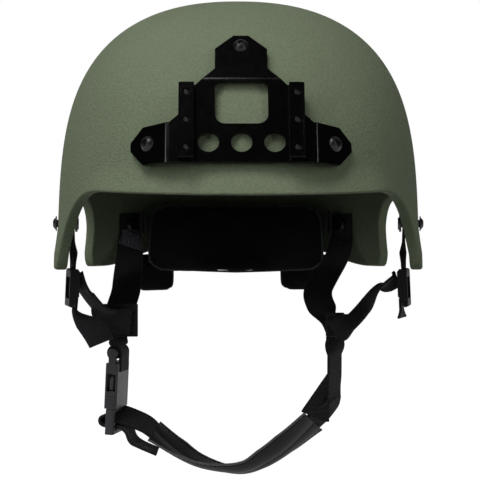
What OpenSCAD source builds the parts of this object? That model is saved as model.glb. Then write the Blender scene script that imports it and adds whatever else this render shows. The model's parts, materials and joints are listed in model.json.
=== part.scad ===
// Combat helmet with a front accessory bracket, pads and a four-point chin strap.
// Millimetres. +X is the wearer's left, -Y is the front, +Z is up.
// The origin is the centre of the head opening, level with the lowest rim.

/* [Shell] */
// Width of the shell above its ear flare
shell_w = 242; // [230:1:254]
// Length of the shell from brow to nape
shell_l = 276; // [262:1:290]
// Height of the shell from its lowest rim to its crown
shell_h = 178.5; // [170:0.5:188]
// Thickness of the moulded shell
wall = 7.5; // [6:0.1:9]
// Height of the middle of the brim above the lowest rim
brim_z = 45; // [41:0.5:49]
// Height of the ear arch above the lowest rim
ear_arch = 50; // [44:0.5:54]
// Distance that the brim flares out past the dome
brim_flare = 5; // [3:0.1:7]
// Distance that the ear rim flares out past the dome
ear_flare = 2.2; // [1:0.1:4]
// Radius of the rounded edge all round the rim
rim_round = 1.6; // [1:0.1:2.4]

/* [Front bracket] */
// Thickness of the bracket's sheet
plate_t = 3; // [2:0.1:4]
// Height of the bracket's lower edge above the lowest rim
plate_z = 63.2; // [59:0.1:67]
// Length of the flat part of the bracket, from its lower edge to the bend
plate_h = 50.6; // [49:0.1:54]
// Width of the bracket between its two bends
plate_w = 84; // [80:0.5:88]
// Inner radius of the bracket's bends
bend_r = 3; // [1.5:0.1:4]
// Width of the window in the bracket
window_w = 31; // [26:0.5:34]
// Height of the window in the bracket
window_h = 26.5; // [20:0.5:27]
// Diameter of the three round holes in the bracket
hole_d = 12.4; // [8:0.1:14]
// Length of the bracket's top tab
tab_l = 34; // [32:0.5:36]
// Length of each side wing of the bracket
wing_l = 25.4; // [24:0.1:27]
// Spacing of the three round holes
hole_pitch = 19.2; // [17:0.1:21]
// Width of one rail bar
rail_w = 9; // [7:0.1:10]
// Height of one rail bar
rail_h = 46; // [40:0.5:48]
// Thickness of one rail bar
rail_t = 5.5; // [4:0.1:7]
// Distance between the centres of the two rails
rail_pitch = 64.2; // [61:0.1:66]
// Diameter of the small rail screws' heads
rail_screw_d = 4.2; // [3:0.1:5]
// Diameter of the bracket bolts' heads
bolt_head_d = 9.8; // [8:0.1:11]
// Diameter of the bracket bolts' shanks
bolt_d = 5; // [4:0.1:6]

/* [Liner] */
// Thickness of the foam pads
pad_t = 19; // [14:0.5:22]
// Diameter of the round crown pad
crown_pad_d = 116; // [100:1:124]
// Length of an oblong side pad
side_pad_l = 96; // [86:1:104]
// Height of an oblong side pad
side_pad_h = 46; // [40:1:50]
// Diameter of the hook discs that hold the pads
disc_d = 38; // [30:1:44]
// Thickness of the hook discs
disc_t = 1.2; // [0.8:0.1:1.8]
// Thickness of the nape pad
nape_t = 9; // [6:0.5:11]
// Height of the nape pad
nape_h = 56; // [50:1:58]

/* [Straps] */
// Width of the webbing
web_w = 20; // [18:0.5:22]
// Thickness of the webbing
web_t = 1.8; // [1.4:0.1:2.2]
// Diameter of the strap bolts' heads
strap_bolt_head_d = 8; // [7:0.1:9.6]
// Diameter of the strap bolts' shanks
strap_bolt_d = 5; // [4:0.1:6]
// Height of the front strap bolts above the lowest rim
front_bolt_z = 30; // [27:0.5:33]
// Height of the rear strap bolts above the lowest rim
rear_bolt_z = 30; // [27:0.5:36]
// Height of a strap slider
slider_h = 25; // [22:0.5:27]
// Width of the chin pad
chin_w = 30; // [26:0.5:34]
// Drop from the chin strap's swing axis to the bottom of the chin pad
chin_drop = 88.5; // [84:0.5:96]
// Thickness of the chin pad
chin_t = 3.4; // [2.6:0.1:4.4]

/* [Buckle] */
// Width of the buckle's socket
buckle_w = 29; // [27:0.5:32]
// Thickness of the buckle's socket
buckle_t = 8.6; // [8.2:0.1:10]
// Length of the buckle's socket
buckle_l = 30; // [28:0.5:33]
// Thickness of the socket's walls
buckle_wall = 1.3; // [1:0.1:1.5]
// Length of the two sprung prongs
prong_l = 22; // [20:0.5:24]

/* [Hidden] */

$fn = 40;
// Running gap between pieces that lie on each other
gap = 0.3;
// How the dome falls off: exponents of its side, front and back curves
side_fall = [3.9, 2.32];
front_fall = [3, 2.1];
back_fall = [3.3, 2.2];
// Lean of the sides toward the crown, in mm per mm
lean = 0.0212;
// Squareness of the shell seen from above
plan_power = 2.2;
// Heights at which the flare starts, at the brow and over the ears
crease_front = brim_z + 19;
crease_side = 30;
flare_rise = 20;
// Angles from the front, round the shell, at which its rim changes
brim_end = 42;
prong_start = 67;
arch_start = 84;
arch_end = 121;
nape_start = 126;
nape_rise = 16;
corner_rise = 3.5;
// Rows of points from the rim to the crown
rows = 18;

function ease(x) = let (c = min(1, max(0, x))) c * c * (3 - 2 * c);
function mix(a, b, u) = a + (b - a) * u;
function unit(v) = v / norm(v);
function fall(z, h, p) = pow(max(1e-9, 1 - pow(max(0, z) / h, p[0])), 1 / p[1]);
function half_w(z, t) = (shell_w / 2 - t - lean * z) * fall(z, shell_h - t, side_fall);
function half_l(a, z, t) =
    (shell_l / 2 - t) * fall(z, shell_h - t, cos(a) > 0 ? front_fall : back_fall);
function flare(a, z) =
    let (turn = acos(cos(a)), u = ease((turn - 36) / 30),
         drop = (mix(crease_front, crease_side, u) - z) / flare_rise)
    mix(brim_flare, ear_flare, u) * pow(min(1, max(0, drop)), 1.3);
function radius(a, z, t) =
    pow(pow(abs(sin(a)) / half_w(z, t), plan_power) + pow(abs(cos(a)) / half_l(a, z, t), plan_power),
        -1 / plan_power) + flare(a, z);
// Point of the shell at angle a from the front, height z, and t inside the outer face
function surf(a, z, t) = let (r = radius(a, z, t)) [r * sin(a), -r * cos(a), z];

// Half of the rim, from the brow to the nape, as pairs of angle and height
half_rim = [
    for (a = [0 : 6 : brim_end]) [a, brim_z + corner_rise * pow(a / brim_end, 2)],
    for (u = [0.2, 0.4, 0.6, 0.75, 0.88])
        [mix(brim_end, prong_start, u), (brim_z + corner_rise) * pow(1 - u * u, 0.8)],
    for (a = [prong_start : 5.5 : arch_start - 5]) [a, 0],
    for (k = [0 : 12]) let (c = cos(180 - 15 * k), s = sin(15 * k))
        [(arch_start + arch_end) / 2 + (arch_end - arch_start) / 2 * sign(c) * sqrt(abs(c)),
         ear_arch * sqrt(abs(s))],
    for (a = [nape_start : 6 : 180]) [a, nape_rise * ease((a - nape_start - 5) / 31)]
];
half_n = len(half_rim);
columns = 2 * half_n - 2;
function rim(i) = let (j = (i + columns) % columns)
    j < half_n ? half_rim[j] : [360 - half_rim[columns - j][0], half_rim[columns - j][1]];
function turn_gap(a, b) = let (d = b - a) d > 180 ? d - 360 : d < -180 ? d + 360 : d;
// Rim point moved onto the shell by a distance, square to the rim
function rim_in(i, d) =
    let (p = rim(i), before = rim(i - 1), after = rim(i + 1),
         r = radius(p[0], p[1], 0) * PI / 180,
         t = unit([turn_gap(before[0], after[0]) * r, after[1] - before[1]]))
    [p[0] - t[1] * d / r, p[1] + t[0] * d];
function column_point(i, k, t) =
    let (v = k / rows, start = rim_in(i, rim_round), high = shell_h - t)
    surf(start[0] + turn_gap(start[0], 360 * i / columns) * ease(v),
         mix(start[1], high, 1 - pow(1 - v, 2)), t);

// A closed solid through rings of points, from a first pole to a last one
module ringed(rings, first, last) {
    c = len(rings[0]);
    n = len(rings);
    points = [for (ring = rings) each ring, first, last];
    faces = [
        for (k = [0 : n - 2]) for (i = [0 : c - 1])
            [k * c + i, k * c + (i + 1) % c, (k + 1) * c + (i + 1) % c, (k + 1) * c + i],
        for (i = [0 : c - 1]) [n * c, (i + 1) % c, i],
        for (i = [0 : c - 1]) [n * c + 1, (n - 1) * c + i, (n - 1) * c + (i + 1) % c]
    ];
    polyhedron(points, faces, convexity = 6);
}

// A strip swept along a path: its section is a list of pairs, across and through
module sweep(path, sides, section, spread = undef) {
    n = len(path);
    c = len(section);
    points = [for (i = [0 : n - 1])
        let (ahead = unit(path[min(i + 1, n - 1)] - path[max(i - 1, 0)]),
             across = unit(sides[i] - ahead * (sides[i] * ahead)),
             through = cross(ahead, across))
        for (p = section) path[i] + across * p[0] * (spread ? spread[i] : 1) + through * p[1]];
    faces = [
        [for (k = [0 : c - 1]) k],
        [for (k = [c - 1 : -1 : 0]) (n - 1) * c + k],
        for (i = [0 : n - 2]) for (k = [0 : c - 1])
            let (a = i * c + k, b = a + c, d = i * c + (k + 1) % c, e = d + c)
                each [[a, b, e], [a, e, d]]
    ];
    polyhedron(points, faces, convexity = 6);
}
function webbing(w) = [[w / 2, web_t / 2], [-w / 2, web_t / 2], [-w / 2, -web_t / 2],
    [w / 2, -web_t / 2]];
// Smooth curve through hand-set points, n steps from each to the next
function curve_at(a, b, c, d, u) =
    0.5 * (2 * b + (c - a) * u + (2 * a - 5 * b + 4 * c - d) * u * u
        + (3 * b - a - 3 * c + d) * u * u * u);
function curve(p, n) = let (m = len(p) - 1) [
    for (i = [0 : m - 1]) for (k = [0 : n - 1])
        curve_at(p[max(i - 1, 0)], p[i], p[i + 1], p[min(i + 2, m)], k / n),
    p[m]
];
// One smooth bend from a to d that leaves toward b and arrives from c
function bend(a, b, c, d, n) = [for (k = [0 : n]) let (u = k / n, v = 1 - u)
    a * v * v * v + b * 3 * v * v * u + c * 3 * v * u * u + d * u * u * u];
function rest(v) = [for (i = [1 : len(v) - 1]) v[i]];
// The same steps in straight lines, for the directions across a strip
function blend(p, n) = let (m = len(p) - 1) [
    for (i = [0 : m - 1]) for (k = [0 : n - 1]) unit(mix(p[i], p[i + 1], k / n)),
    unit(p[m])
];

module side(s) {
    if (s < 0) mirror([1, 0, 0]) children();
    else children();
}

// Whether a point lies inside the surface that is t inside the shell's outer face
function inside(p, t) =
    p[2] < shell_h - t && norm([p[0], p[1]]) < radius(atan2(p[0], -p[1]), p[2], t);
// How far a ray runs before it crosses that surface, outward from inside it
function reach(p, d, t, near = 0, far = 220, n = 20) =
    n == 0 ? (near + far) / 2
    : let (m = (near + far) / 2)
        inside(p + d * m, t) ? reach(p, d, t, m, far, n - 1) : reach(p, d, t, near, m, n - 1);
// How far a ray runs into the shell from outside before it crosses that surface
function sink(p, d, t, near = 0, far = 40, n = 18) =
    n == 0 ? (near + far) / 2
    : let (m = (near + far) / 2)
        inside(p + d * m, t) ? sink(p, d, t, near, m, n - 1) : sink(p, d, t, m, far, n - 1);

// Bracket: a bent sheet whose flat part leans back with the brow
stand = 0.6;
bolt_stand = 1.2;
function front_y(z) = -half_l(0, z, 0);
function shell_y(x, z) =
    -half_l(0, z, 0) * pow(1 - pow(abs(x) / half_w(z, 0), plan_power), 1 / plan_power);
plate_top_z = plate_z + 0.96 * plate_h;
lean_back = atan((front_y(plate_top_z) - front_y(plate_z)) / (plate_top_z - plate_z));
plate_mid = [0, front_y(plate_z + plate_h / 2 * cos(lean_back)) - stand,
    plate_z + plate_h / 2 * cos(lean_back)];
function plate_y(v) = plate_mid[1] + v * sin(lean_back);
tab_bolt = 25.8;
bend_y = plate_y(plate_h / 2);
bend_z = plate_mid[2] + plate_h / 2 * cos(lean_back);
function tab_fit(a, n) = n == 0 ? a
    : let (z = bend_z + tab_bolt * cos(a) + bend_r * (sin(a) - sin(lean_back)),
           y = bend_y + tab_bolt * sin(a) + bend_r * (cos(lean_back) - cos(a)))
        tab_fit(a + atan((front_y(z) - bolt_stand - y) / tab_bolt) * 0.8, n - 1);
tab_turn = tab_fit(lean_back, 12) - lean_back;
wing_bolt = 11.9;
wing_v = -10.9;
wing_z = plate_mid[2] + wing_v * cos(lean_back);
// Corners of a wing round its bolt, out from the end of the bend
wing_tip = [[wing_l - 10, wing_v - 12.4], [wing_l, wing_v - 1.9], [wing_l, wing_v + 3.4],
    [wing_l - 9.8, wing_v + 11]];
// Height of the wing's upper edge at the bend
wing_top = wing_v + 10;
// Turn that brings the wing's point l out from the bend and v up near the shell
function wing_fit(l, v, a, n) = n == 0 ? a
    : let (depth = (shell_y(plate_w / 2 + l * cos(a) + bend_r * sin(a), plate_mid[2] + v * cos(lean_back))
            - bolt_stand - plate_y(v)) / cos(lean_back) - bend_r * (1 - cos(a)))
        wing_fit(l, v, asin(min(0.9, depth / l)), n - 1);
wing_turn = min([for (p = concat([[wing_bolt, wing_v]], wing_tip)) wing_fit(p[0], p[1], 20, 12)]);
rail_edge = rail_pitch / 2 + rail_w / 2;
hole_v = -13;
window_v = plate_h / 2 - 0.5 - window_h / 2;
shank_gap = 0.1;

module plate_frame() {
    translate(plate_mid) rotate([90 - lean_back, 0, 0]) children();
}
module tab_frame() {
    translate([0, plate_h / 2, -bend_r]) rotate([-tab_turn, 0, 0]) translate([0, 0, bend_r]) children();
}
module wing_frame() {
    translate([plate_w / 2, 0, -bend_r]) rotate([0, wing_turn, 0]) translate([0, 0, bend_r]) children();
}
function spin_x(v, a) = [v[0], v[1] * cos(a) - v[2] * sin(a), v[1] * sin(a) + v[2] * cos(a)];
function spin_y(v, a) = [v[0] * cos(a) + v[2] * sin(a), v[1], v[2] * cos(a) - v[0] * sin(a)];
function from_plate(v) = spin_x(v, 90 - lean_back);
nut_flange = 6;
// Depths at which rays beside p, all round a disc of radius r, cross the shell's surface
function under(p, u, v, d, r, t) =
    [for (a = [0 : 45 : 315]) sink(p + r * (cos(a) * u + sin(a) * v), d, t)];
// Depth of the bracket nuts' seats inside the shell, under the tab and under the wings
tab_depth = max(under(
    plate_mid + from_plate([0, plate_h / 2, -bend_r] + spin_x([0, tab_bolt, bend_r], -tab_turn)),
    [1, 0, 0],
    from_plate(spin_x([0, 1, 0], -tab_turn)), from_plate(spin_x([0, 0, -1], -tab_turn)),
    bolt_d / 2 + nut_flange / 2, wall));
wing_depth = max(under(
    plate_mid + from_plate([plate_w / 2, 0, -bend_r] + spin_y([wing_bolt, wing_v, bend_r], wing_turn)),
    from_plate(spin_y([1, 0, 0], wing_turn)), from_plate([0, 1, 0]),
    from_plate(spin_y([0, 0, -1], wing_turn)), bolt_d / 2 + nut_flange / 2, wall));
// Children at each bracket bolt: the sheet's inner face is at zero, outside is up
module bracket_bolt_places() {
    plate_frame() {
        let ($depth = tab_depth) tab_frame() translate([0, tab_bolt, 0]) children();
        for (s = [-1, 1]) side(s)
            let ($depth = wing_depth) wing_frame() translate([wing_bolt, wing_v, 0]) children();
    }
}
module rounded_window(w, h, top_r, low_r) {
    for (s = [-1, 1]) {
        translate([s * (w / 2 - top_r), h / 2 - top_r]) circle(top_r);
        translate([s * (w / 2 - low_r), low_r - h / 2]) circle(low_r);
    }
    translate([top_r - w / 2, 0]) square([w - 2 * top_r, h / 2]);
    translate([-w / 2, low_r - h / 2]) square([w, h - top_r - low_r]);
    translate([low_r - w / 2, -h / 2]) square([w - 2 * low_r, h / 2]);
}
module rail_screw_places() {
    for (s = [-1, 1]) for (k = [-1 : 1])
        translate([s * rail_pitch / 2, rail_mid + k * (rail_h / 2 - 6), 0]) children();
}
rail_mid = plate_h / 2 - 3.2 - rail_h / 2;
rail_screw_shank = 2.4;
// Height of the rail screws' heads, which lie just under the rail's face
screw_head = 1.3;
screw_sink = screw_head + 0.1;
module bracket_plate() {
    low = -plate_h / 2;
    high = plate_h / 2;
    shoulder = window_w / 2 + 11.3;
    neck = 15.5;
    foot = high - 2.8;
    corner = high + bend_r * sin(tab_turn) + 8.3 * cos(tab_turn);
    tip = neck - 11;
    color([0.05, 0.05, 0.05]) plate_frame() difference() {
        intersection() {
            union() {
                linear_extrude(plate_t) polygon([
                    [-plate_w / 2, low], [plate_w / 2, low], [plate_w / 2, wing_top],
                    [rail_edge, wing_top + 5], [rail_edge, high], [-rail_edge, high],
                    [-rail_edge, wing_top + 5], [-plate_w / 2, wing_top]
                ]);
                tab_frame() linear_extrude(plate_t) polygon([
                    [-shoulder, 0], [shoulder, 0], [shoulder, tab_l - shoulder + tip], [tip, tab_l],
                    [-tip, tab_l], [-shoulder, tab_l - shoulder + tip]
                ]);
                translate([shoulder - 1, high, -bend_r]) rotate([0, -90, 0])
                    bent(tab_turn, 2 * shoulder - 2);
                for (s = [-1, 1]) side(s) {
                    wing_frame() linear_extrude(plate_t)
                        polygon(concat([[0, low]], wing_tip, [[0, wing_top]]));
                    translate([plate_w / 2, low, -bend_r]) rotate([-90, -90, 0])
                        bent(wing_turn, wing_top - low);
                }
            }
            // The cut outline of the sheet above the rails, straight across the upper bend
            translate([0, 0, -60]) linear_extrude(80) polygon([
                [-80, -80], [80, -80], [80, foot], [shoulder, foot], [neck, corner], [neck, 80],
                [-neck, 80], [-neck, corner], [-shoulder, foot], [-80, foot]
            ]);
        }
        translate([0, window_v, -1]) linear_extrude(plate_t + 2)
            rounded_window(window_w, window_h, 4, 6);
        for (k = [-1 : 1]) translate([k * hole_pitch, hole_v, -1]) cylinder(d = hole_d, h = plate_t + 2);
        rail_screw_places() translate([0, 0, -1]) cylinder(d = rail_screw_shank + 2 * shank_gap, h = 9);
        tab_frame() translate([0, tab_bolt, -1]) cylinder(d = bolt_d + 2 * shank_gap, h = plate_t + 2);
        for (s = [-1, 1]) side(s) wing_frame() translate([wing_bolt, wing_v, -1])
            cylinder(d = bolt_d + 2 * shank_gap, h = plate_t + 2);
    }
}
// The sheet round a bend, in short flats about the bend's axis. It laps a little into the flat
// sheet on both sides and past its edges, so that the three are one piece of metal
module bent(turn, l) {
    flats = 8;
    lap = 8;
    over = 0.05;
    angles = [for (k = [0 : flats]) mix(-lap, turn + lap, k / flats)];
    translate([0, 0, -over]) linear_extrude(l + 2 * over) polygon(concat(
        [for (a = angles) (bend_r + plate_t - over) * [cos(a), sin(a)]],
        [for (k = [flats : -1 : 0]) (bend_r + over) * [cos(angles[k]), sin(angles[k])]]
    ));
}

// A rail bar: its outer lip hangs over a groove on the side toward the window
module bracket_rail(s) {
    lip = 1.4;
    color([0.05, 0.05, 0.05]) plate_frame() difference() {
        translate([s * rail_pitch / 2, rail_mid, plate_t]) side(-s) rotate([90, 0, 0])
            translate([0, 0, -rail_h / 2]) linear_extrude(rail_h) polygon([
                [-rail_w / 2, 0], [rail_w / 2 - lip, 0], [rail_w / 2, rail_t * 0.55],
                [rail_w / 2, rail_t], [1 - rail_w / 2, rail_t], [-rail_w / 2, rail_t - 1]
            ]);
        rail_screw_places() {
            translate([0, 0, -1]) cylinder(d = rail_screw_shank + 2 * shank_gap, h = plate_t + rail_t + 2);
            translate([0, 0, plate_t + rail_t - screw_sink])
                cylinder(d = rail_screw_d + 2 * shank_gap, h = 2);
        }
    }
}
module bracket_rail_left() bracket_rail(1);
module bracket_rail_right() bracket_rail(-1);

// Screw or bolt with a domed socket head whose seat is at zero
module bolt(head_d, head_h, d, l, socket) {
    dome = (head_d * head_d / 4 + head_h * head_h) / (2 * head_h);
    difference() {
        union() {
            intersection() {
                translate([0, 0, head_h - dome]) sphere(dome);
                cylinder(d = head_d, h = head_h);
            }
            translate([0, 0, -l]) cylinder(d = d, h = l + head_h / 2);
        }
        translate([0, 0, head_h * 0.45]) cylinder(d = socket, h = head_h, $fn = 6);
    }
}
module rail_screws() {
    color([0.08, 0.08, 0.08]) plate_frame() rail_screw_places()
        translate([0, 0, plate_t + rail_t - screw_sink])
            bolt(rail_screw_d, screw_head, rail_screw_shank, rail_t + plate_t - screw_sink - 0.4,
                rail_screw_d * 0.45);
}

nut_t = 1.5;
nut_barrel = 3.5;
module bracket_bolts() {
    color([0.08, 0.08, 0.08]) bracket_bolt_places() translate([0, 0, plate_t])
        bolt(bolt_head_d, 3, bolt_d, plate_t + $depth + gap + nut_t + 1, bolt_head_d * 0.42);
}
module nut(flange_d, barrel_d, bore_d, barrel) {
    difference() {
        union() {
            translate([0, 0, -nut_t]) cylinder(d = flange_d, h = nut_t);
            translate([0, 0, -nut_t - barrel]) cylinder(d = barrel_d, h = barrel + nut_t / 2);
        }
        translate([0, 0, -nut_t - barrel - 1]) cylinder(d = bore_d, h = nut_t + barrel + 2);
    }
}
module bracket_nuts() {
    color([0.3, 0.3, 0.3]) bracket_bolt_places() translate([0, 0, -$depth - gap])
        nut(bolt_d + nut_flange, bolt_d + 3, bolt_d + 2 * shank_gap, nut_barrel);
}

// Strap bolts: frames at the front and rear bolts, with x outward and z up from the rim
strap_gap = 1.2;
front_a = 76;
// Length of the nape pad round the rear, on a band of this radius, and how far the rear bolts
// stand ahead of its ends
nape_arc = 146;
band_r = 112;
bolt_ahead = 5.2;
rear_a = 180 - (nape_arc / 2 + bolt_ahead) / band_r * 180 / PI;
function plan_turn(a, z) =
    let (d = surf(a + 1, z, wall) - surf(a - 1, z, wall)) atan2(-d[0], d[1]);
front_foot = surf(front_a, front_bolt_z, wall);
front_turn = plan_turn(front_a, front_bolt_z);
rear_foot = surf(rear_a, rear_bolt_z, wall);
rear_turn = plan_turn(rear_a, rear_bolt_z);
function place(foot, turn, x, y, z) =
    [foot[0] + x * cos(turn) - y * sin(turn), foot[1] + x * sin(turn) + y * cos(turn), z];
function at_front(x, y, z) = place(front_foot, front_turn, x, y, z);
function at_rear(x, y, z) = place(rear_foot, rear_turn, x, y, z);
front_lean = 2.5;
// Further turn of the hanging front straps, which swings their front edges inward about hung_y
strap_turn = 5;
hung_turn = front_turn - strap_turn;
hung_y = web_w / 2 + 4;
function hung(x, y) = [
    strap_x + (x - strap_x) * cos(strap_turn) + (y - hung_y) * sin(strap_turn),
    hung_y - (x - strap_x) * sin(strap_turn) + (y - hung_y) * cos(strap_turn)];
function at_front_strap(x, y, z) = let (drop = front_bolt_z - z, h = hung(x, y))
    at_front(h[0] * cos(front_lean) + drop * sin(front_lean), h[1],
        front_bolt_z - drop * cos(front_lean) + h[0] * sin(front_lean));
// How far the shell's outer face stands out under a strap washer
function stand_out(p, turn) = 30 - min(under(p, [-sin(turn), cos(turn), 0], [0, 0, 1],
    [-cos(turn), -sin(turn), 0], washer_d / 2, 0));
washer_t = 0.8;
washer_d = strap_bolt_head_d + 1.8;
front_out = stand_out(at_front(30, 0, front_bolt_z), front_turn);
rear_out = stand_out(at_rear(30, 0, rear_bolt_z), rear_turn);
module front_frame() {
    translate([front_foot[0], front_foot[1], 0]) rotate([0, 0, front_turn]) children();
}
// The same, leaned out with the temple: z runs along the strap
module front_strap_frame() {
    front_frame() translate([0, 0, front_bolt_z]) rotate([0, -front_lean, 0])
        translate([strap_x, hung_y, -front_bolt_z]) rotate([0, 0, -strap_turn])
        translate([-strap_x, -hung_y, 0]) children();
}
module rear_frame() {
    translate([rear_foot[0], rear_foot[1], 0]) rotate([0, 0, rear_turn]) children();
}
// Children at each strap bolt: the shell's inner face is at zero, outside is up
module strap_bolt_places() {
    for (s = [-1, 1]) side(s) {
        let ($out = front_out) front_frame() translate([0, 0, front_bolt_z]) rotate([0, 90, 0]) children();
        let ($out = rear_out) rear_frame() translate([0, 0, rear_bolt_z]) rotate([0, 90, 0]) children();
    }
}
module strap_washers() {
    color([0.08, 0.08, 0.08]) strap_bolt_places() translate([0, 0, $out + gap]) difference() {
        cylinder(d = washer_d, h = washer_t);
        translate([0, 0, -1]) cylinder(d = strap_bolt_d + 2 * shank_gap, h = washer_t + 2);
    }
}
module strap_bolts() {
    color([0.08, 0.08, 0.08]) strap_bolt_places() translate([0, 0, $out + gap + washer_t])
        bolt(strap_bolt_head_d, 2.1, strap_bolt_d,
            $out + gap + washer_t + strap_gap + web_t + 2 * gap + nut_t + 0.6, strap_bolt_head_d * 0.4);
}
module strap_nuts() {
    color([0.3, 0.3, 0.3]) strap_bolt_places() translate([0, 0, -strap_gap - web_t - 2 * gap])
        nut(strap_bolt_d + nut_flange, strap_bolt_d + 3, strap_bolt_d + 2 * shank_gap, 0.8);
}

module shell_solid() {
    around = [0 : columns - 1];
    ringed([
        for (k = [rows - 1 : -1 : 0]) [for (i = around) column_point(i, k, 0)],
        [for (i = around) surf(rim(i)[0], rim(i)[1], rim_round)],
        [for (i = around) surf(rim(i)[0], rim(i)[1], wall - rim_round)],
        for (k = [0 : rows - 1]) [for (i = around) column_point(i, k, wall)]
    ], [0, 0, shell_h], [0, 0, shell_h - wall]);
}
module shell() {
    color([0.43, 0.47, 0.38]) difference() {
        shell_solid();
        bracket_bolt_places() translate([0, 0, -$depth - 4])
            cylinder(d = bolt_d + 2 * shank_gap, h = $depth + 6);
        strap_bolt_places() translate([0, 0, -4])
            cylinder(d = strap_bolt_d + 2 * shank_gap, h = $out + 8);
    }
}

// Liner: discs and pads lie on the shell, placed by direction from a point in the dome
dome_eye = [0, 0, 60];
function ray_point(az, el, u, v, t) =
    let (n = [cos(el) * sin(az), -cos(el) * cos(az), sin(el)],
         right = [cos(az), sin(az), 0],
         up = [-sin(el) * sin(az), sin(el) * cos(az), cos(el)],
         d = unit(n * reach(dome_eye, n, wall) + right * u + up * v))
    dome_eye + d * reach(dome_eye, d, t);
// The same on the lower band, by angle round the shell and by height
function band_point(a, z, u, v, t) = surf(a + u / band_r * 180 / PI, z + v, t);
// A cushion between depths t0 and t1: p squares its outline, edge thins its rim
module cushion(at, w, h, t0, t1, p, edge, spokes) {
    rise = t1 - t0;
    function ring(s, t) = [for (i = [0 : spokes - 1])
        let (f = 360 * i / spokes, c = cos(f), n = sin(f))
        at(s * w / 2 * sign(c) * pow(abs(c), 2 / p), s * h / 2 * sign(n) * pow(abs(n), 2 / p), t)];
    ringed([
        ring(0.4, t0), ring(0.8, t0), ring(1 - 0.25 * rise / h, t0 + 0.08 * rise),
        ring(1, t0 + 0.35 * rise), ring(1 - 0.1 * rise / h, t0 + edge * rise),
        ring(0.86, t0 + mix(edge, 1, 0.7) * rise), ring(0.5, t1)
    ], at(0, 0, t0), at(0, 0, t1));
}
// A disc is flatter than the shell, so it stands off a little more
disc_in = wall + 0.5;
pad_in = disc_in + disc_t + gap;
// Direction, width and height of each pad
crown_at = [0, 90, crown_pad_d, crown_pad_d, 2];
front_at = [0, 15, 88, 60, 4];
rear_at = [180, 15, 100, 60, 4];
side_front_at = [58, 9, side_pad_l, side_pad_h, 4];
side_rear_at = [120, 9, side_pad_l, side_pad_h, 4];
module pad(a) {
    color([0.1, 0.1, 0.1])
        cushion(function (u, v, t) ray_point(a[0], a[1], u, v, t), a[2], a[3], pad_in, pad_in + pad_t,
            a[4], 0.72, 24);
}
module crown_pad() pad(crown_at);
module front_pad() pad(front_at);
module rear_pad() pad(rear_at);
module front_pad_left() pad(side_front_at);
module front_pad_right() side(-1) pad(side_front_at);
module rear_pad_left() pad(side_rear_at);
module rear_pad_right() side(-1) pad(side_rear_at);
module disc(a) {
    cushion(function (u, v, t) ray_point(a[0], a[1], u, v, t), disc_d, disc_d, disc_in,
        disc_in + disc_t, 2, 1, 16);
}
module hook_discs() {
    color([0.15, 0.15, 0.15]) {
        disc(crown_at);
        disc(front_at);
        disc(rear_at);
        for (s = [-1, 1]) side(s) {
            disc(side_front_at);
            disc(side_rear_at);
        }
    }
}

// Nape pad and what holds it: a band inside the rear rim
nape_in = wall + 14;
nape_mid_z = 20.5;
tab_in = wall + 8.5;
module nape_pad() {
    color([0.06, 0.06, 0.06])
        cushion(function (u, v, t) band_point(180, nape_mid_z, u, v, t), nape_arc, nape_h,
            nape_in, nape_in + nape_t, 5, 0.7, 40);
}
module nape_tab(s, a, w) {
    color([0.06, 0.06, 0.06]) side(s)
        cushion(function (u, v, t) band_point(a, -5, u, v, t), w, 28, tab_in, nape_in - gap, 5, 0.8, 24);
}
module nape_tab_left() nape_tab(1, 153, 42);
module nape_tab_right() nape_tab(-1, 149, 32);
elastic_w = web_w * 0.7;
elastic_z = nape_mid_z + 11.5;
elastic_start = at_rear(-strap_gap - web_t - gap - web_t, 13, elastic_z);
elastic_end = band_point(180, elastic_z, -nape_arc / 2 - 3.2, 0, nape_in + nape_t * 0.4);
elastic_ahead = unit(elastic_end - elastic_start);
module nape_elastic(s) {
    color([0.07, 0.07, 0.07]) side(s) sweep([elastic_start, elastic_end], [[0, 0, 1], [0, 0, 1]],
        webbing(elastic_w));
}
module nape_elastic_left() nape_elastic(1);
module nape_elastic_right() nape_elastic(-1);
module nape_buckles() {
    color([0.09, 0.09, 0.1]) for (s = [-1, 1]) side(s)
        translate(elastic_start * 0.42 + elastic_end * 0.58)
        rotate([0, 0, atan2(elastic_ahead[1], elastic_ahead[0])])
        translate([0, web_t / 2 + gap, 0]) difference() {
            translate([-5, 0, -elastic_w / 2 - 2.5]) cube([10, 2.4, elastic_w + 5]);
            for (x = [-3.6, 0.9]) translate([x, -1, -elastic_w / 2 - 0.5]) cube([2.7, 5, elastic_w + 1]);
        }
}

// Front straps: straight webbing down the inside of each temple, through a slider
slider_z = 0.5 - slider_h / 2;
strap_y = -8;
swing_z = -47;
function junction_h(s) = s > 0 ? 16 : 22;
function junction_w(s) = s > 0 ? 16 : 25;
function junction(s) =
    [shell_w / 2 - (s > 0 ? 55.6 : 41), strap_y, swing_z + web_t / 2 + gap + junction_h(s) / 2];
strap_x = -strap_gap - web_t / 2;
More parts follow.
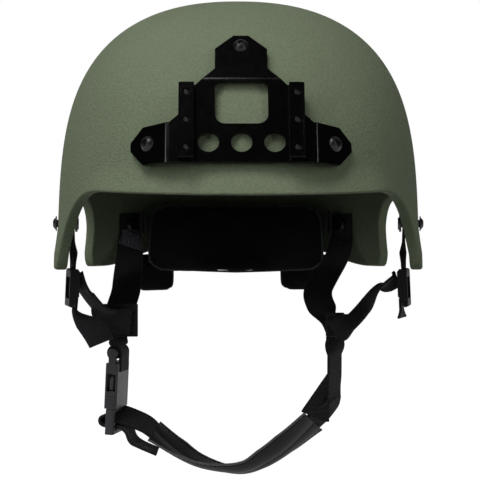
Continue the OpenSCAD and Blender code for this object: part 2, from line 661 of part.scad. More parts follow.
// Lower end of the front straps, still inside the slider when it slides down
strap_low = slider_z - slider_h / 2 + 2.5;
module front_strap(s) {
    top = [for (z = [10, -12]) at_front(strap_x, 0, front_bolt_z + z)];
    hung = [for (z = [front_bolt_z - 21, strap_low]) at_front_strap(strap_x, 0, z)];
    flat = [-sin(front_turn), cos(front_turn), 0];
    color([0.09, 0.09, 0.1]) side(s) difference() {
        sweep(concat(top, hung), [flat, flat, across_front, across_front], webbing(web_w));
        front_frame() translate([strap_x, 0, front_bolt_z]) rotate([0, 90, 0])
            cylinder(d = strap_bolt_d + 4 * shank_gap, h = 10, center = true);
    }
}
module front_strap_left() front_strap(1);
module front_strap_right() front_strap(-1);
slide_gap = 0.4;
slider_rail = 2.2;
slider_out = web_t / 2 + slide_gap + 1.6;
slider_inner = web_t / 2 + slide_gap + 2.2;
module slider(s) {
    half = slider_h / 2;
    rail_y = web_w / 2 + 0.5;
    color([0.12, 0.12, 0.13]) side(s) front_strap_frame() translate([strap_x, 0, slider_z]) {
        for (e = [-1, 1]) translate([0, e * (rail_y + slider_rail / 2) + slider_rail / 2, 0])
            rotate([90, 0, 0]) linear_extrude(slider_rail) polygon([
                [-slider_inner, 7 - half], [1 - slider_inner, 6 - half], [0.5, -half],
                [slider_out - 1, -half], [slider_out, 1 - half], [slider_out, half - 1],
                [slider_out - 1, half], [1.5 - slider_inner, half], [-slider_inner, half - 2]
            ]);
        for (z = [-half + 0.4, half - 5.4])
            translate([slider_out - 1.6, -rail_y - 0.5, z]) cube([1.6, 2 * rail_y + 1, 5]);
        translate([-slider_inner, -rail_y - 0.5, -1.5]) cube([2.2, 2 * rail_y + 1, 5]);
    }
}
module slider_left() slider(1);
module slider_right() slider(-1);
// The strap from a slider to the junction below the ear
lower_x = strap_x - slider_inner - 2 * gap - web_t / 2;
across_front = [-sin(hung_turn), cos(hung_turn), 0];
function lower_start(z) = at_front_strap(lower_x, 0, z);
module lower_strap(s) {
    end = junction(s) - [0, web_t * 1.5 + 3 * gap, 0];
    back = [0, 1, 0];
    flat = s > 0 ? [-0.76, 0, 0.65] : [-0.35, 0, 0.94];
    path = s > 0
        ? [lower_start(-5) - [0.5, 0, 0], lower_start(-9) - [5, 0, 0], lower_start(-12) - [11, -4, 0],
            end + [19.6, -8, 13.4], end + [9.3, -8, 2.2], end + [-1, 0, -5]]
        : [lower_start(-2), lower_start(-9) - [2, 0, 0], end + [21.5, -9, 17],
            end + [14.4, -8.5, 8], end + [5, -2, 0.5], end + [-8, 0, -1]];
    sides = s > 0
        ? [across_front, unit(0.9 * back - 0.42 * flat), back, unit(back + 0.4 * flat),
            unit(back + 0.5 * flat), flat]
        : [across_front, across_front, across_front, unit(across_front + 0.25 * flat), flat, flat];
    color([0.09, 0.09, 0.1]) side(s) sweep(curve(path, 4), blend(sides, 4), webbing(web_w * 0.85));
}
module lower_strap_left() lower_strap(1);
module lower_strap_right() lower_strap(-1);
// The loose end of each front strap, below its slider
tail_x = strap_x - web_t - slide_gap - 0.3;
module strap_tail_left() {
    path = [for (d = [3, 12, 20]) at_front_strap(tail_x, 0, slider_z - d)];
    color([0.09, 0.09, 0.1]) sweep(path, [for (p = path) across_front], webbing(web_w));
}
module strap_tail_right() {
    low = slider_z - 14;
    path = bend(at_front_strap(tail_x, 0, low), at_front_strap(tail_x - 4, -2, low - 5),
        at_front_strap(tail_x - 11.5, -9, low - 13), at_front_strap(tail_x - 13, -11, slider_z - 38.5), 10);
    last = [-0.3, 0.9, 0.3];
    color([0.09, 0.09, 0.1]) side(-1) sweep(concat([at_front_strap(tail_x, 0, slider_z - 3)], path),
        concat([across_front], blend([across_front, across_front, last], 5)), webbing(web_w));
}
// Rear straps run from the rear bolts, forward and down, to the junctions
module rear_strap(s) {
    j = junction(s);
    behind = web_t * 1.5 + gap;
    across = [-sin(rear_turn), cos(rear_turn), 0];
    top = at_rear(strap_x, 0, rear_bolt_z);
    mid = [shell_w / 2 - (s > 0 ? 63 : 43.5), 28, -13];
    up = [s > 0 ? 10 : 0.5, s > 0 ? 20 : 24, 14];
    end = j + [s > 0 ? -1.5 : 1, behind + gap, s > 0 ? -4 : -6];
    above = s > 0 ? [-5, 1.5, 14] : [0, 4, 16];
    across_mid = unit([-1, 0.15, 0]);
    color([0.09, 0.09, 0.1]) side(s) difference() {
        sweep(concat([top + [0, 0, 9]], bend(top - [0, 0, 6.5], top - [1, 1, 24], mid + up, mid, 8),
                rest(bend(mid, mid - up * 0.6, end + above, end, 6))),
            concat([across], blend([across, across_mid], 8), rest(blend([across_mid, [-1, 0, 0]], 6))),
            webbing(web_w));
        rear_frame() translate([strap_x, 0, rear_bolt_z]) rotate([0, 90, 0])
            cylinder(d = strap_bolt_d + 2 * shank_gap, h = 8, center = true);
    }
}
module rear_strap_left() rear_strap(1);
module rear_strap_right() rear_strap(-1);
module junction_patch(s) {
    j = junction(s);
    color([0.08, 0.08, 0.09]) side(s)
        translate(j - [junction_w(s) / 2, web_t, junction_h(s) / 2])
            cube([junction_w(s), 2 * web_t, junction_h(s)]);
}
module junction_left() junction_patch(1);
module junction_right() junction_patch(-1);

// Buckle: its frame has z along the buckle, up from the socket's mouth, and y across it
buckle_lean = 2.5;
buckle_turn = 12;
mouth = [38.7 - shell_w / 2, strap_y, swing_z - 45.8];
cavity_w = buckle_w - 2 * buckle_wall;
cavity_t = buckle_t - 2 * buckle_wall;
bar_d = 6.4;
bar_z = buckle_l + 6.8;
function at_buckle(v) =
    let (c = cos(-buckle_turn), n = sin(-buckle_turn))
    mouth + spin_y([v[0] * c - v[1] * n, v[0] * n + v[1] * c, v[2]], buckle_lean);
across_buckle = at_buckle([0, 1, 0]) - mouth;
module buckle_frame() {
    translate(mouth) rotate([0, buckle_lean, 0]) rotate([0, 0, -buckle_turn]) children();
}
module rounded_slab(w, t, h, r) {
    linear_extrude(h) {
        square([t - 2 * r, w], center = true);
        square([t, w - 2 * r], center = true);
        for (a = [-1, 1]) for (b = [-1, 1]) translate([a * (t / 2 - r), b * (w / 2 - r)]) circle(r);
    }
}
window_low = 11.5;
window_high = 23.5;
module buckle_socket() {
    arm_y = buckle_w / 2 - 2.2;
    color([0.18, 0.18, 0.19]) buckle_frame() {
        difference() {
            union() {
                rounded_slab(buckle_w, buckle_t, buckle_l, 1.8);
                for (s = [-1, 1]) for (k = [0 : 3]) translate([-buckle_t / 2 + 1.4,
                    s * buckle_w / 2 - 0.6, 1.6 + 2.4 * k]) cube([buckle_t - 2.8, 1.2, 1.2]);
            }
            translate([-cavity_t / 2, -cavity_w / 2, -1]) cube([cavity_t, cavity_w, buckle_l - 1]);
            translate([-cavity_t / 2, -buckle_w, window_low])
                cube([cavity_t, 2 * buckle_w, window_high - window_low]);
        }
        for (s = [-1, 1]) translate([-2.4, s * arm_y - 1.5, buckle_l - 0.5]) cube([4.8, 3, bar_z - buckle_l]);
        translate([0, arm_y + 2, bar_z]) rotate([90, 0, 0]) cylinder(d = bar_d, h = 2 * arm_y + 4);
    }
}
prong_t = 2.6;
prong_y = 10.4;
hinge_r = 1.6;
module buckle_prong(s) {
    outer = cavity_w / 2 - 0.6;
    color([0.16, 0.16, 0.17]) buckle_frame() side_y(s) translate([-prong_t / 2, 0, 0]) {
        rotate([0, 90, 0]) translate([-hinge_r, prong_y, 0]) cylinder(r = hinge_r, h = prong_t);
        rotate([90, 0, 90]) linear_extrude(prong_t) polygon([
            [prong_y - hinge_r, hinge_r], [prong_y + hinge_r, hinge_r], [prong_y + hinge_r, window_low + 0.4],
            [outer, window_low + 0.8], [outer, prong_l - 4], [outer - 2.2, prong_l],
            [prong_y - hinge_r - 1, prong_l], [prong_y - hinge_r - 1, window_low - 2]
        ]);
    }
}
module side_y(s) {
    if (s < 0) mirror([0, 1, 0]) children();
    else children();
}
module buckle_prong_front() buckle_prong(-1);
module buckle_prong_rear() buckle_prong(1);
plug_l = 17.3;
plug_t = 6;
slots = [[-7.2, 4.4], [-14.6, 4.4]];
module buckle_plug() {
    color([0.15, 0.15, 0.16]) buckle_frame() {
        difference() {
            translate([0, 0, -plug_l]) rounded_slab(buckle_w, plug_t, plug_l - gap, 1.6);
            for (slot = slots) translate([-buckle_t, -web_w / 2 - 0.8, slot[0]])
                cube([2 * buckle_t, web_w + 1.6, slot[1]]);
        }
        translate([-1.1, -3.5, -1]) cube([2.2, 7, window_low]);
    }
}

// Chin strap: a webbing U that swings on the two junctions and opens at the buckle
hinge_turn = 30;
// Share of its width to which the webbing bunches where it swings
bunch = 0.54;
hinge_x = shell_w / 2 - 56.6;
across_hinge = [sin(hinge_turn), cos(hinge_turn), 0];
prong_middle = at_buckle([0, 0, prong_l / 2]);
release = [hinge_x, strap_y,
    prong_middle[2] - (hinge_x - prong_middle[0]) * sin(buckle_lean) / cos(buckle_lean)];
left_top = [shell_w / 2 - 55.6, strap_y, swing_z];
right_top = [40.4 - shell_w / 2, strap_y, swing_z];
// A round strap end that turns on an axis through p
module strap_end(p, across, w) {
    translate(p) rotate([0, 0, atan2(across[1], across[0])]) rotate([0, 90, 0])
        translate([0, 0, -w / 2]) cylinder(d = web_t, h = w);
}
module chin_strap_left() {
    path = [left_top, left_top - [0.3, 0, 11], [hinge_x + 0.6, strap_y, mix(swing_z, release[2], 0.6)],
        release + [0, 0, 8], release + [0, 0, web_t / 2 + gap]];
    flat = [1, 0, 0];
    color([0.09, 0.09, 0.1]) {
        strap_end(left_top, flat, web_w * bunch);
        sweep(curve(path, 5),
            blend([flat, across_hinge, across_hinge, across_hinge, across_hinge], 5), webbing(web_w),
            [for (k = [0 : 20]) min(1, bunch + k * 0.05)]);
    }
}
module buckle_loop() {
    flat = [1, 0, 0];
    side_x = bar_d / 2 + gap + web_t / 2;
    color([0.09, 0.09, 0.1]) {
        strap_end(right_top, flat, web_w * bunch);
        hull() {
            translate(right_top) cube([web_w * bunch, web_t, 0.6], center = true);
            buckle_frame() translate([0, 0, bar_z + bar_d / 2 + gap + web_t / 2])
                cube([web_t * 2, web_w - 1, 0.8], center = true);
        }
        sweep([for (z = [0 : 4]) at_buckle([side_x + z * 0.5, 0, bar_z + 1 - z * 3.4])],
            [for (z = [0 : 4]) across_buckle], webbing(web_w - 1));
        sweep([for (a = [0 : 20 : 250]) at_buckle([side_x * cos(a + 10), 0, bar_z + side_x * sin(a + 10)])],
            [for (a = [0 : 20 : 250]) across_buckle], webbing(web_w - 1));
    }
}
// Points of the chin pad's middle line: share of the half width, and share of the drop
function chin(f, g) = [f * shell_w / 2, strap_y, swing_z - chin_drop * g];
chin_line = [chin(0.42, 0.635), chin(0.285, 0.805), chin(0.147, 0.934), chin(0.01, 1),
    chin(-0.193, 0.955), chin(-0.339, 0.85), chin(-0.468, 0.704)];
// Direction across the chin pad: it twists from one end to the other
function chin_across(turn, ahead) = let (inward = [-ahead[2], 0, ahead[0]])
    [0, cos(turn), 0] - inward * sin(turn);
chin_turns = [-40, -30, -18, -6, 6, 14, 20];
module chin_pad() {
    n = len(chin_line) - 1;
    turns = [for (i = [0 : n]) chin_across(chin_turns[i],
        unit(chin_line[min(i + 1, n)] - chin_line[max(i - 1, 0)]))];
    w = chin_w / 2;
    t = chin_t / 2;
    color([0.15, 0.15, 0.16]) sweep(curve(chin_line, 6), blend(turns, 6), [
        [w, 0.3], [w - 1.2, t * 0.55], [w - 3, t * 0.45], [w * 0.4, t], [-w * 0.4, t], [3 - w, t * 0.45],
        [1.2 - w, t * 0.55], [-w, 0.3], [-w, -0.3], [1.2 - w, -t * 0.55], [3 - w, -t * 0.45],
        [-w * 0.4, -t], [w * 0.4, -t], [w - 3, -t * 0.45], [w - 1.2, -t * 0.55], [w, -0.3]
    ]);
}
function chin_end(i, k, d) = chin_line[i] + unit(chin_line[i] - chin_line[k]) * d;
module chin_web_left() {
    path = [release, release - [2, 0, 7], chin_end(0, 1, 5.5), chin_end(0, 1, gap)];
    last = chin_across(chin_turns[0], unit(chin_line[1] - chin_line[0]));
    color([0.09, 0.09, 0.1]) {
        strap_end(release, across_hinge, web_w);
        sweep(curve(path, 4), blend([across_hinge, mix(across_hinge, last, 0.35), last, last], 4),
            webbing(web_w));
    }
}
module chin_web_right() {
    first = -chin_across(chin_turns[6], unit(chin_line[5] - chin_line[6]));
    upper = slots[0][0] + slots[0][1] / 2;
    lower = slots[1][0] + slots[1][1] / 2;
    mid = (upper + lower) / 2;
    path = [
        chin_end(6, 5, gap), chin_end(6, 5, 8), at_buckle([4, 0, upper]),
        at_buckle([-3.4, 0, upper]), at_buckle([-7, 0, upper - 1.2]), at_buckle([-8.2, 0, mid]),
        at_buckle([-7, 0, lower + 1.2]), at_buckle([-3.4, 0, lower]), at_buckle([3, 0, lower]),
        at_buckle([9, 0, lower - 2]), chin_line[6] + [-12, 0, -7], chin_line[6] + [2.5, 0, -14]
    ];
    b = -across_buckle;
    color([0.09, 0.09, 0.1]) sweep(curve(path, 4),
        blend([first, mix(first, b, 0.4), b, b, b, b, b, b, b, b, b, b], 4), webbing(web_w));
}

shell();
bracket_plate();
bracket_rail_left();
bracket_rail_right();
rail_screws();
bracket_bolts();
bracket_nuts();
strap_bolts();
strap_washers();
strap_nuts();
hook_discs();
crown_pad();
front_pad();
rear_pad();
front_pad_left();
front_pad_right();
rear_pad_left();
rear_pad_right();
nape_pad();
nape_tab_left();
nape_tab_right();
nape_elastic_left();
nape_elastic_right();
nape_buckles();
front_strap_left();
front_strap_right();
lower_strap_left();
lower_strap_right();
slider_left();
slider_right();
strap_tail_left();
strap_tail_right();
rear_strap_left();
rear_strap_right();
junction_left();
junction_right();
chin_strap_left();
buckle_loop();
buckle_socket();
buckle_plug();
buckle_prong_front();
buckle_prong_rear();
chin_web_left();
chin_web_right();
chin_pad();
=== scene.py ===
"""Looks of a combat helmet with a front bracket, a padded liner and a chin strap.

Lengths in the classes are millimetres and angles are degrees; meshes are in metres.
+X is the wearer's left, -Y is the front and +Z is up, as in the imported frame.
"""

import json
import logging
from dataclasses import dataclass, field
from enum import Enum
from functools import partial
from math import acos, atan2, copysign, cos, degrees, hypot, pi, radians, sin
from typing import Callable, Iterable, Sequence

import bpy
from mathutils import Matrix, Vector

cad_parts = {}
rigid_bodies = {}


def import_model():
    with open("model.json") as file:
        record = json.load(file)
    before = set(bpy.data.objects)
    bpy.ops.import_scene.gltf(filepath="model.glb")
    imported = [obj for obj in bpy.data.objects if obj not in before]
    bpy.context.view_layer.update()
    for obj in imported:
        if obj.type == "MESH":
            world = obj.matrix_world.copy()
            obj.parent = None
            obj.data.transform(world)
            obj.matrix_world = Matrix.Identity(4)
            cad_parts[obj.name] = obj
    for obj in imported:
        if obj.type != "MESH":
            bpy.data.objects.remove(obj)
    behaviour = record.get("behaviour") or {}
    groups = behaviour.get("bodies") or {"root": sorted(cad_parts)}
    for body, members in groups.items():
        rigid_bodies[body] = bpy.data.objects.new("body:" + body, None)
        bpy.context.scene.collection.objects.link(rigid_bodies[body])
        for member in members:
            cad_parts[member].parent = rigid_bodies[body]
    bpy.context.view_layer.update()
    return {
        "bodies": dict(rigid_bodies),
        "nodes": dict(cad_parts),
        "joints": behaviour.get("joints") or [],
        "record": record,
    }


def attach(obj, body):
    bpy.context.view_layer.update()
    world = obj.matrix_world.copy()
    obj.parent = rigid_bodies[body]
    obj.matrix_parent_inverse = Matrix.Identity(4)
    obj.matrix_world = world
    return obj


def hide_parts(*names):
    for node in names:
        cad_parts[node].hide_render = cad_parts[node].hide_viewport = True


MM = 0.001
LOG = logging.getLogger("helmet")
Node = bpy.types.Node
Piece = bpy.types.Object
Point = Sequence[float]
Ring = Callable[[float], Vector]


class Body(Enum):
    """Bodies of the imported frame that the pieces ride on."""

    HELMET = "helmet"
    SLIDER_LEFT = "slider_left"
    SLIDER_RIGHT = "slider_right"
    CHIN_STRAP = "chin_strap"
    CHIN_RELEASE = "chin_release"
    PRONG_FRONT = "prong_front"
    PRONG_REAR = "prong_rear"


# ---------------------------------------------------------------- materials


def linear(colour: str) -> tuple[float, ...]:
    """Turns an sRGB hex colour into linear light.

    Args:
        colour: six hex digits.

    Returns:
        Red, green, blue and an alpha of one.
    """
    channels = [int(colour[i : i + 2], 16) / 255 for i in (0, 2, 4)]
    light = [c / 12.92 if c <= 0.04045 else ((c + 0.055) / 1.055) ** 2.4 for c in channels]
    return (*light, 1.0)


def add_node(tree: bpy.types.NodeTree, kind: str, inputs: dict | None = None, **settings) -> Node:
    """Adds a node, with its settings and with values or links for its inputs.

    Args:
        tree: the node tree.
        kind: the node's type name without "ShaderNode".
        inputs: by name or number, a value, a socket, or a node for its first output.
        settings: the node's own options.

    Returns:
        The new node.
    """
    made = tree.nodes.new("ShaderNode" + kind)
    for name, value in settings.items():
        setattr(made, name, value)
    for name, value in (inputs or {}).items():
        if isinstance(value, Node):
            value = value.outputs[0]
        if isinstance(value, bpy.types.NodeSocket):
            tree.links.new(value, made.inputs[name])
        else:
            made.inputs[name].default_value = value
    return made


def fresh_nodes(owner: bpy.types.ID) -> Callable[..., Node]:
    """Clears the nodes of a material or a world, and returns what adds its new ones.

    Args:
        owner: the material or world.

    Returns:
        The function that adds a node to it.
    """
    owner.use_nodes = True
    owner.node_tree.nodes.clear()
    return partial(add_node, owner.node_tree)


class Surface:
    """A material while a finish draws on it: its shader and the relief laid so far."""

    def __init__(self, finish: "Finish") -> None:
        """Starts the material with the finish's plain colour and gloss.

        Args:
            finish: the finish that draws on it.
        """
        self.finish = finish
        self.material = bpy.data.materials.new(finish.name)
        self.add = fresh_nodes(self.material)
        self.shader = self.add("BsdfPrincipled", {"Base Color": linear(finish.colour),
            "Roughness": finish.roughness, "Specular IOR Level": finish.specular})
        self.add("OutputMaterial", {"Surface": self.shader})
        self.below: dict[str, Node] = {}

    def fix(self, **inputs: float) -> None:
        """Sets inputs of the shader, each named with _ for its spaces."""
        for name, value in inputs.items():
            self.shader.inputs[name.replace("_", " ")].default_value = value

    def drive(self, name: str, source: bpy.types.NodeSocket) -> None:
        """Links a socket to one of the shader's inputs."""
        self.material.node_tree.links.new(source, self.shader.inputs[name])

    def blots(self, size: float, detail: float = 2) -> Node:
        """Adds soft blots of a size in millimetres, with octaves of finer detail."""
        return self.add("TexNoise", {"Vector": self.add("TexCoord").outputs["Object"],
            "Scale": 1 / (size * MM), "Detail": detail, "Roughness": 0.6})

    def mottle(self, value: Node, spread: float) -> None:
        """Lets the colour get darker and lighter.

        Args:
            value: what drives it, from zero to one.
            spread: share by which it changes each way.
        """
        base = linear(self.finish.colour)[:3]
        dark, light = ([min(1, c * (1 + way * spread)) for c in base] + [1] for way in (-1, 1))
        mixed = self.add("Mix", {0: value, 6: dark, 7: light}, data_type="RGBA")
        self.drive("Base Color", mixed.outputs[2])

    def polish(self, value: Node, spread: float) -> None:
        """Lets the roughness vary by a value, by a spread each way.

        Args:
            value: what drives it, from zero to one.
            spread: how far it changes each way.
        """
        low, high = self.finish.roughness - spread, self.finish.roughness + spread
        ranged = self.add("MapRange", {"Value": value, "To Min": low, "To Max": high})
        self.drive("Roughness", ranged.outputs[0])

    def raise_by(self, height: Node, depth: float) -> None:
        """Raises the surface by a value, over the relief that it has.

        Args:
            height: what drives it, from zero to one.
            depth: height of the relief, in millimetres.
        """
        bump = self.add("Bump", {"Height": height, "Distance": depth * MM, **self.below})
        self.drive("Normal", bump.outputs[0])
        self.below = {"Normal": bump}


@dataclass(frozen=True)
class Finish:
    """A surface finish: its slot in the record, its colour and gloss, and its own detail."""

    name: str
    slot: str
    colour: str
    roughness: float
    specular: float = 0.5

    def material(self) -> bpy.types.Material:
        """Makes the material at its first use.

        Returns:
            The material of this finish.
        """
        found = bpy.data.materials.get(self.name)
        if found:
            return found
        surface = Surface(self)
        self.draw(surface)
        return surface.material

    def draw(self, surface: Surface) -> None:
        """Draws the finish's own detail; a class of finish fills this in."""


@dataclass(frozen=True)
class SandedPaint(Finish):
    """Sprayed matt paint with sand in it: dull grains over a slight orange peel."""

    # Real grains are finer than half a millimetre: drawn coarser, so that they show.
    grain: float = 1.5
    peel: float = 2.6

    def draw(self, surface: Surface) -> None:
        """Draws grains, peel and a slow change of shade over the sprayed coat.

        Args:
            surface: the material that is drawn.
        """
        grains = surface.add("MapRange", {
            "Value": surface.blots(self.grain, 3), "From Min": 0.36, "From Max": 0.64})
        peel = surface.blots(self.peel, 1)
        surface.mottle(surface.add("Mix", {0: 0.4, 2: grains, 3: surface.blots(40)}), 0.16)
        surface.polish(peel, 0.06)
        surface.raise_by(peel, 0.06)
        surface.raise_by(grains, 0.2)


@dataclass(frozen=True)
class PowderCoat(Finish):
    """Baked powder coat: glossy over a fine peel, so that bends catch a bright line."""

    def draw(self, surface: Surface) -> None:
        """Draws the peel and a slight change of gloss.

        Args:
            surface: the material that is drawn.
        """
        surface.mottle(surface.blots(9, 3), 0.25)
        surface.polish(surface.blots(6), 0.05)
        surface.raise_by(surface.blots(1.6), 0.03)


@dataclass(frozen=True)
class Steel(Finish):
    """Machined steel, blackened or zinc plated: fine turning marks break its highlight."""

    metallic: float = 1.0

    def draw(self, surface: Surface) -> None:
        """Draws small scratches, coarser than real ones so that they show.

        Args:
            surface: the material that is drawn.
        """
        surface.fix(Metallic=self.metallic)
        scratches = surface.blots(0.7, 4)
        surface.mottle(surface.blots(2.5, 3), 0.2)
        surface.polish(scratches, 0.08)
        surface.raise_by(scratches, 0.012)


@dataclass(frozen=True)
class Moulded(Finish):
    """Injection-moulded nylon: an even spark texture with a soft gloss."""

    def draw(self, surface: Surface) -> None:
        """Draws slight flow marks, and sparks that are coarser than real so that they show.

        Args:
            surface: the material that is drawn.
        """
        flow = surface.blots(7)
        surface.mottle(flow, 0.14)
        surface.polish(flow, 0.06)
        surface.raise_by(surface.blots(0.45), 0.03)


@dataclass(frozen=True)
class Woven(Finish):
    """Woven nylon webbing: close ribs across the strap, crossed by the columns of its warp.

    The pattern follows the strap's own map, whose unit is one metre along and across.
    """

    # Real ribs are about a millimetre apart: drawn coarser, so that they show.
    rib: float = 1.5
    column: float = 1.8
    slant: float = 0.0

    def draw(self, surface: Surface) -> None:
        """Draws ribs and columns, with the colour lighter on the crowns of the ribs and darker
        between them: painted highlight and painted shade over the relief, mixed with random fuzz.

        Args:
            surface: the material that is drawn.
        """
        add = surface.add
        along, across, _ = add("SeparateXYZ", {0: add("TexCoord").outputs["UV"]}).outputs

        def waves(value: Node | bpy.types.NodeSocket, pitch: float) -> Node:
            """Returns waves of a pitch along a value, from zero to one.

            Args:
                value: the length that the waves follow.
                pitch: from wave to wave, in millimetres.

            Returns:
                The node with the waves' height.
            """
            turned = add("Math", {0: value, 1: 2 * pi / (pitch * MM)}, operation="MULTIPLY")
            wave = add("Math", {0: turned}, operation="SINE")
            return add("Math", {0: wave, 1: 0.5, 2: 0.5}, operation="MULTIPLY_ADD")

        columns = waves(across, self.column)
        shift = self.rib * MM * (0.5 + self.slant)
        shifted = add("Math", {0: columns, 1: shift, 2: along}, operation="MULTIPLY_ADD")
        ribs = waves(shifted, self.rib)
        cloth = add("Mix", {0: 0.35, 2: ribs, 3: columns})
        fuzz = surface.blots(0.8, 3)
        # The colour follows the ribs' height: a painted highlight on their crowns and painted shade
        # in the grooves, with random fuzz mixed in.
        surface.mottle(add("Mix", {0: 0.3, 2: cloth, 3: fuzz}), 0.62)
        surface.fix(Sheen_Weight=0.04, Sheen_Roughness=0.5)
        surface.raise_by(cloth, 0.3)
        surface.raise_by(fuzz, 0.05)


@dataclass(frozen=True)
class Brushed(Finish):
    """Brushed polyester knit over foam: a dull, soft nap that takes up the light."""

    # Real nap is finer: drawn coarser, so that it shows.
    nap: float = 0.9

    def draw(self, surface: Surface) -> None:
        """Draws the nap, and broad shades where it lies differently.

        Args:
            surface: the material that is drawn.
        """
        nap = surface.blots(self.nap, 4)
        surface.mottle(surface.add("Mix", {0: 0.5, 2: nap, 3: surface.blots(22)}), 0.35)
        surface.fix(Sheen_Weight=0.08, Sheen_Roughness=0.45)
        surface.raise_by(nap, 0.18)


@dataclass(frozen=True)
class Grained(Finish):
    """Coated leather: embossed pebbles with fine creases between them and a low gloss."""

    pebble: float = 1.1

    def draw(self, surface: Surface) -> None:
        """Draws pebbles, creases and rubbed, glossier places.

        Args:
            surface: the material that is drawn.
        """
        cells = surface.add("TexVoronoi", {"Vector": surface.add("TexCoord").outputs["Object"],
            "Scale": 1 / (self.pebble * MM)}, feature="SMOOTH_F1")
        rubbed = surface.blots(14, 3)
        surface.mottle(rubbed, 0.22)
        surface.polish(rubbed, 0.09)
        surface.raise_by(surface.add("Math", {0: 1.0, 1: cells}, operation="SUBTRACT"), 0.1)
        surface.raise_by(surface.blots(5), 0.12)


# The laminate's outside: olive, matt and sandy to the eye.
SHELL_PAINT = SandedPaint("sanded_shell_paint", "shell_paint", "6E7861", 0.76, 0.16)
# The bent sheet and its rails: near black, with the gloss of a smooth coat.
BRACKET_COAT = PowderCoat("bracket_powder_coat", "bracket_paint", "030304", 0.16, 0.2)
# Oxide-blackened screws and bolts: dark, with a dull metal glint.
BLACK_STEEL = Steel("blackened_steel", "black_steel", "101011", 0.36, metallic=0.4)
# Zinc-plated nuts inside: a grey metal sheen.
PLAIN_STEEL = Steel("dark_zinc_steel", "plain_steel", "3E3E3F", 0.42)
# Woven hooks: a dull, rough black.
HOOK_TAPE = Brushed("hook_and_loop_tape", "hook_tape", "121213", 0.9, 0.2, nap=0.5)
# Brushed knit covers: the deepest, dullest black.
PAD_COVER = Brushed("brushed_pad_cloth", "pad_cover", "070708", 0.95, 0.1)
NAPE_COVER = Brushed("brushed_nape_cloth", "nape_cover", "070708", 0.92, 0.1, nap=0.7)
# Woven elastic and nylon: soft black, with ribs that catch a little light.
ELASTIC = Woven("ribbed_elastic", "elastic", "101012", 0.85, 0.15, rib=1.1, column=2.4)
WEBBING = Woven("nylon_webbing", "webbing", "161618", 0.75, 0.16)
WEBBING_TWILL = Woven(
    "twill_webbing", "webbing", "17171A", 0.75, 0.16, rib=1.7, column=3.6, slant=1.1)
RIBBED_END = Woven("ribbed_strap_end", "webbing", "58585E", 0.8, 0.12, rib=2.2, column=2.2)
# Moulded nylon: charcoal with a soft gloss on the buckle, duller on the sliders.
BUCKLE_PLASTIC = Moulded("buckle_nylon", "buckle_plastic", "2C2C2F", 0.45, 0.3)
SLIDER_PLASTIC = Moulded("slider_nylon", "buckle_plastic", "101012", 0.5, 0.1)
# Coated leather: black pebbles, and a paler rubbed piping at the edges.
CHIN_LEATHER = Grained("grained_chin_leather", "chin_leather", "1A1A1C", 0.55, 0.2)
EDGE_PIPING = Grained("edge_piping", "chin_leather", "4E4E52", 0.5, 0.3, pebble=0.7)
# Bonded twisted thread: tight and slightly shiny.
THREAD = Woven("bonded_thread", "webbing", "0C0C0D", 0.6, 0.35, rib=0.5, column=0.5)


# ---------------------------------------------------------------- mesh tools


def vec(x: float, y: float, z: float) -> Vector:
    """Returns a point or a direction."""
    return Vector((x, y, z))


LEFT, BACK, UP = vec(1, 0, 0), vec(0, 1, 0), vec(0, 0, 1)


def deselect() -> None:
    """Leaves edit mode and deselects every object."""
    if bpy.context.object and bpy.context.object.mode != "OBJECT":
        bpy.ops.object.mode_set(mode="OBJECT")
    bpy.ops.object.select_all(action="DESELECT")


def pick(piece: Piece) -> None:
    """Makes one object the only selected and the active one.

    Args:
        piece: the piece.
    """
    deselect()
    piece.select_set(True)
    bpy.context.view_layer.objects.active = piece


def edit_all(piece: Piece) -> None:
    """Starts edit mode on a piece with everything in it selected.

    Args:
        piece: the piece.
    """
    pick(piece)
    bpy.ops.object.mode_set(mode="EDIT")
    bpy.ops.mesh.select_all(action="SELECT")


def finish_with(piece: Piece, kind: str, **settings) -> None:
    """Adds a modifier to a piece and applies it.

    Args:
        piece: the piece.
        kind: the modifier's type.
        settings: the modifier's options.
    """
    pick(piece)
    modifier = piece.modifiers.new(kind.lower(), kind)
    for name, value in settings.items():
        setattr(modifier, name, value)
    bpy.ops.object.modifier_apply(modifier=modifier.name)


def clean(piece: Piece, distance: float = 0.004) -> None:
    """Merges points that lie within a distance, and turns the faces outward.

    Args:
        piece: the piece.
        distance: how far apart merged points may be, in millimetres.
    """
    edit_all(piece)
    bpy.ops.mesh.remove_doubles(threshold=distance * MM)
    bpy.ops.mesh.normals_make_consistent(inside=False)
    bpy.ops.object.mode_set(mode="OBJECT")


def smooth(piece: Piece, angle: float = 180) -> None:
    """Shades a piece smooth, with creases sharper than an angle kept.

    Args:
        piece: the piece.
        angle: sharpest bend that is shaded smooth.
    """
    pick(piece)
    if angle >= 180:
        bpy.ops.object.shade_smooth()
    else:
        bpy.ops.object.shade_smooth_by_angle(angle=radians(angle))


def join(name: str, *pieces: Piece) -> Piece:
    """Joins pieces into the first of them, under a name, and returns it.

    Args:
        name: name of the joined piece.
        pieces: the pieces.

    Returns:
        The joined piece.
    """
    pick(pieces[0])
    for piece in pieces[1:]:
        piece.select_set(True)
    bpy.ops.object.join()
    pieces[0].name = pieces[0].data.name = name
    return pieces[0]


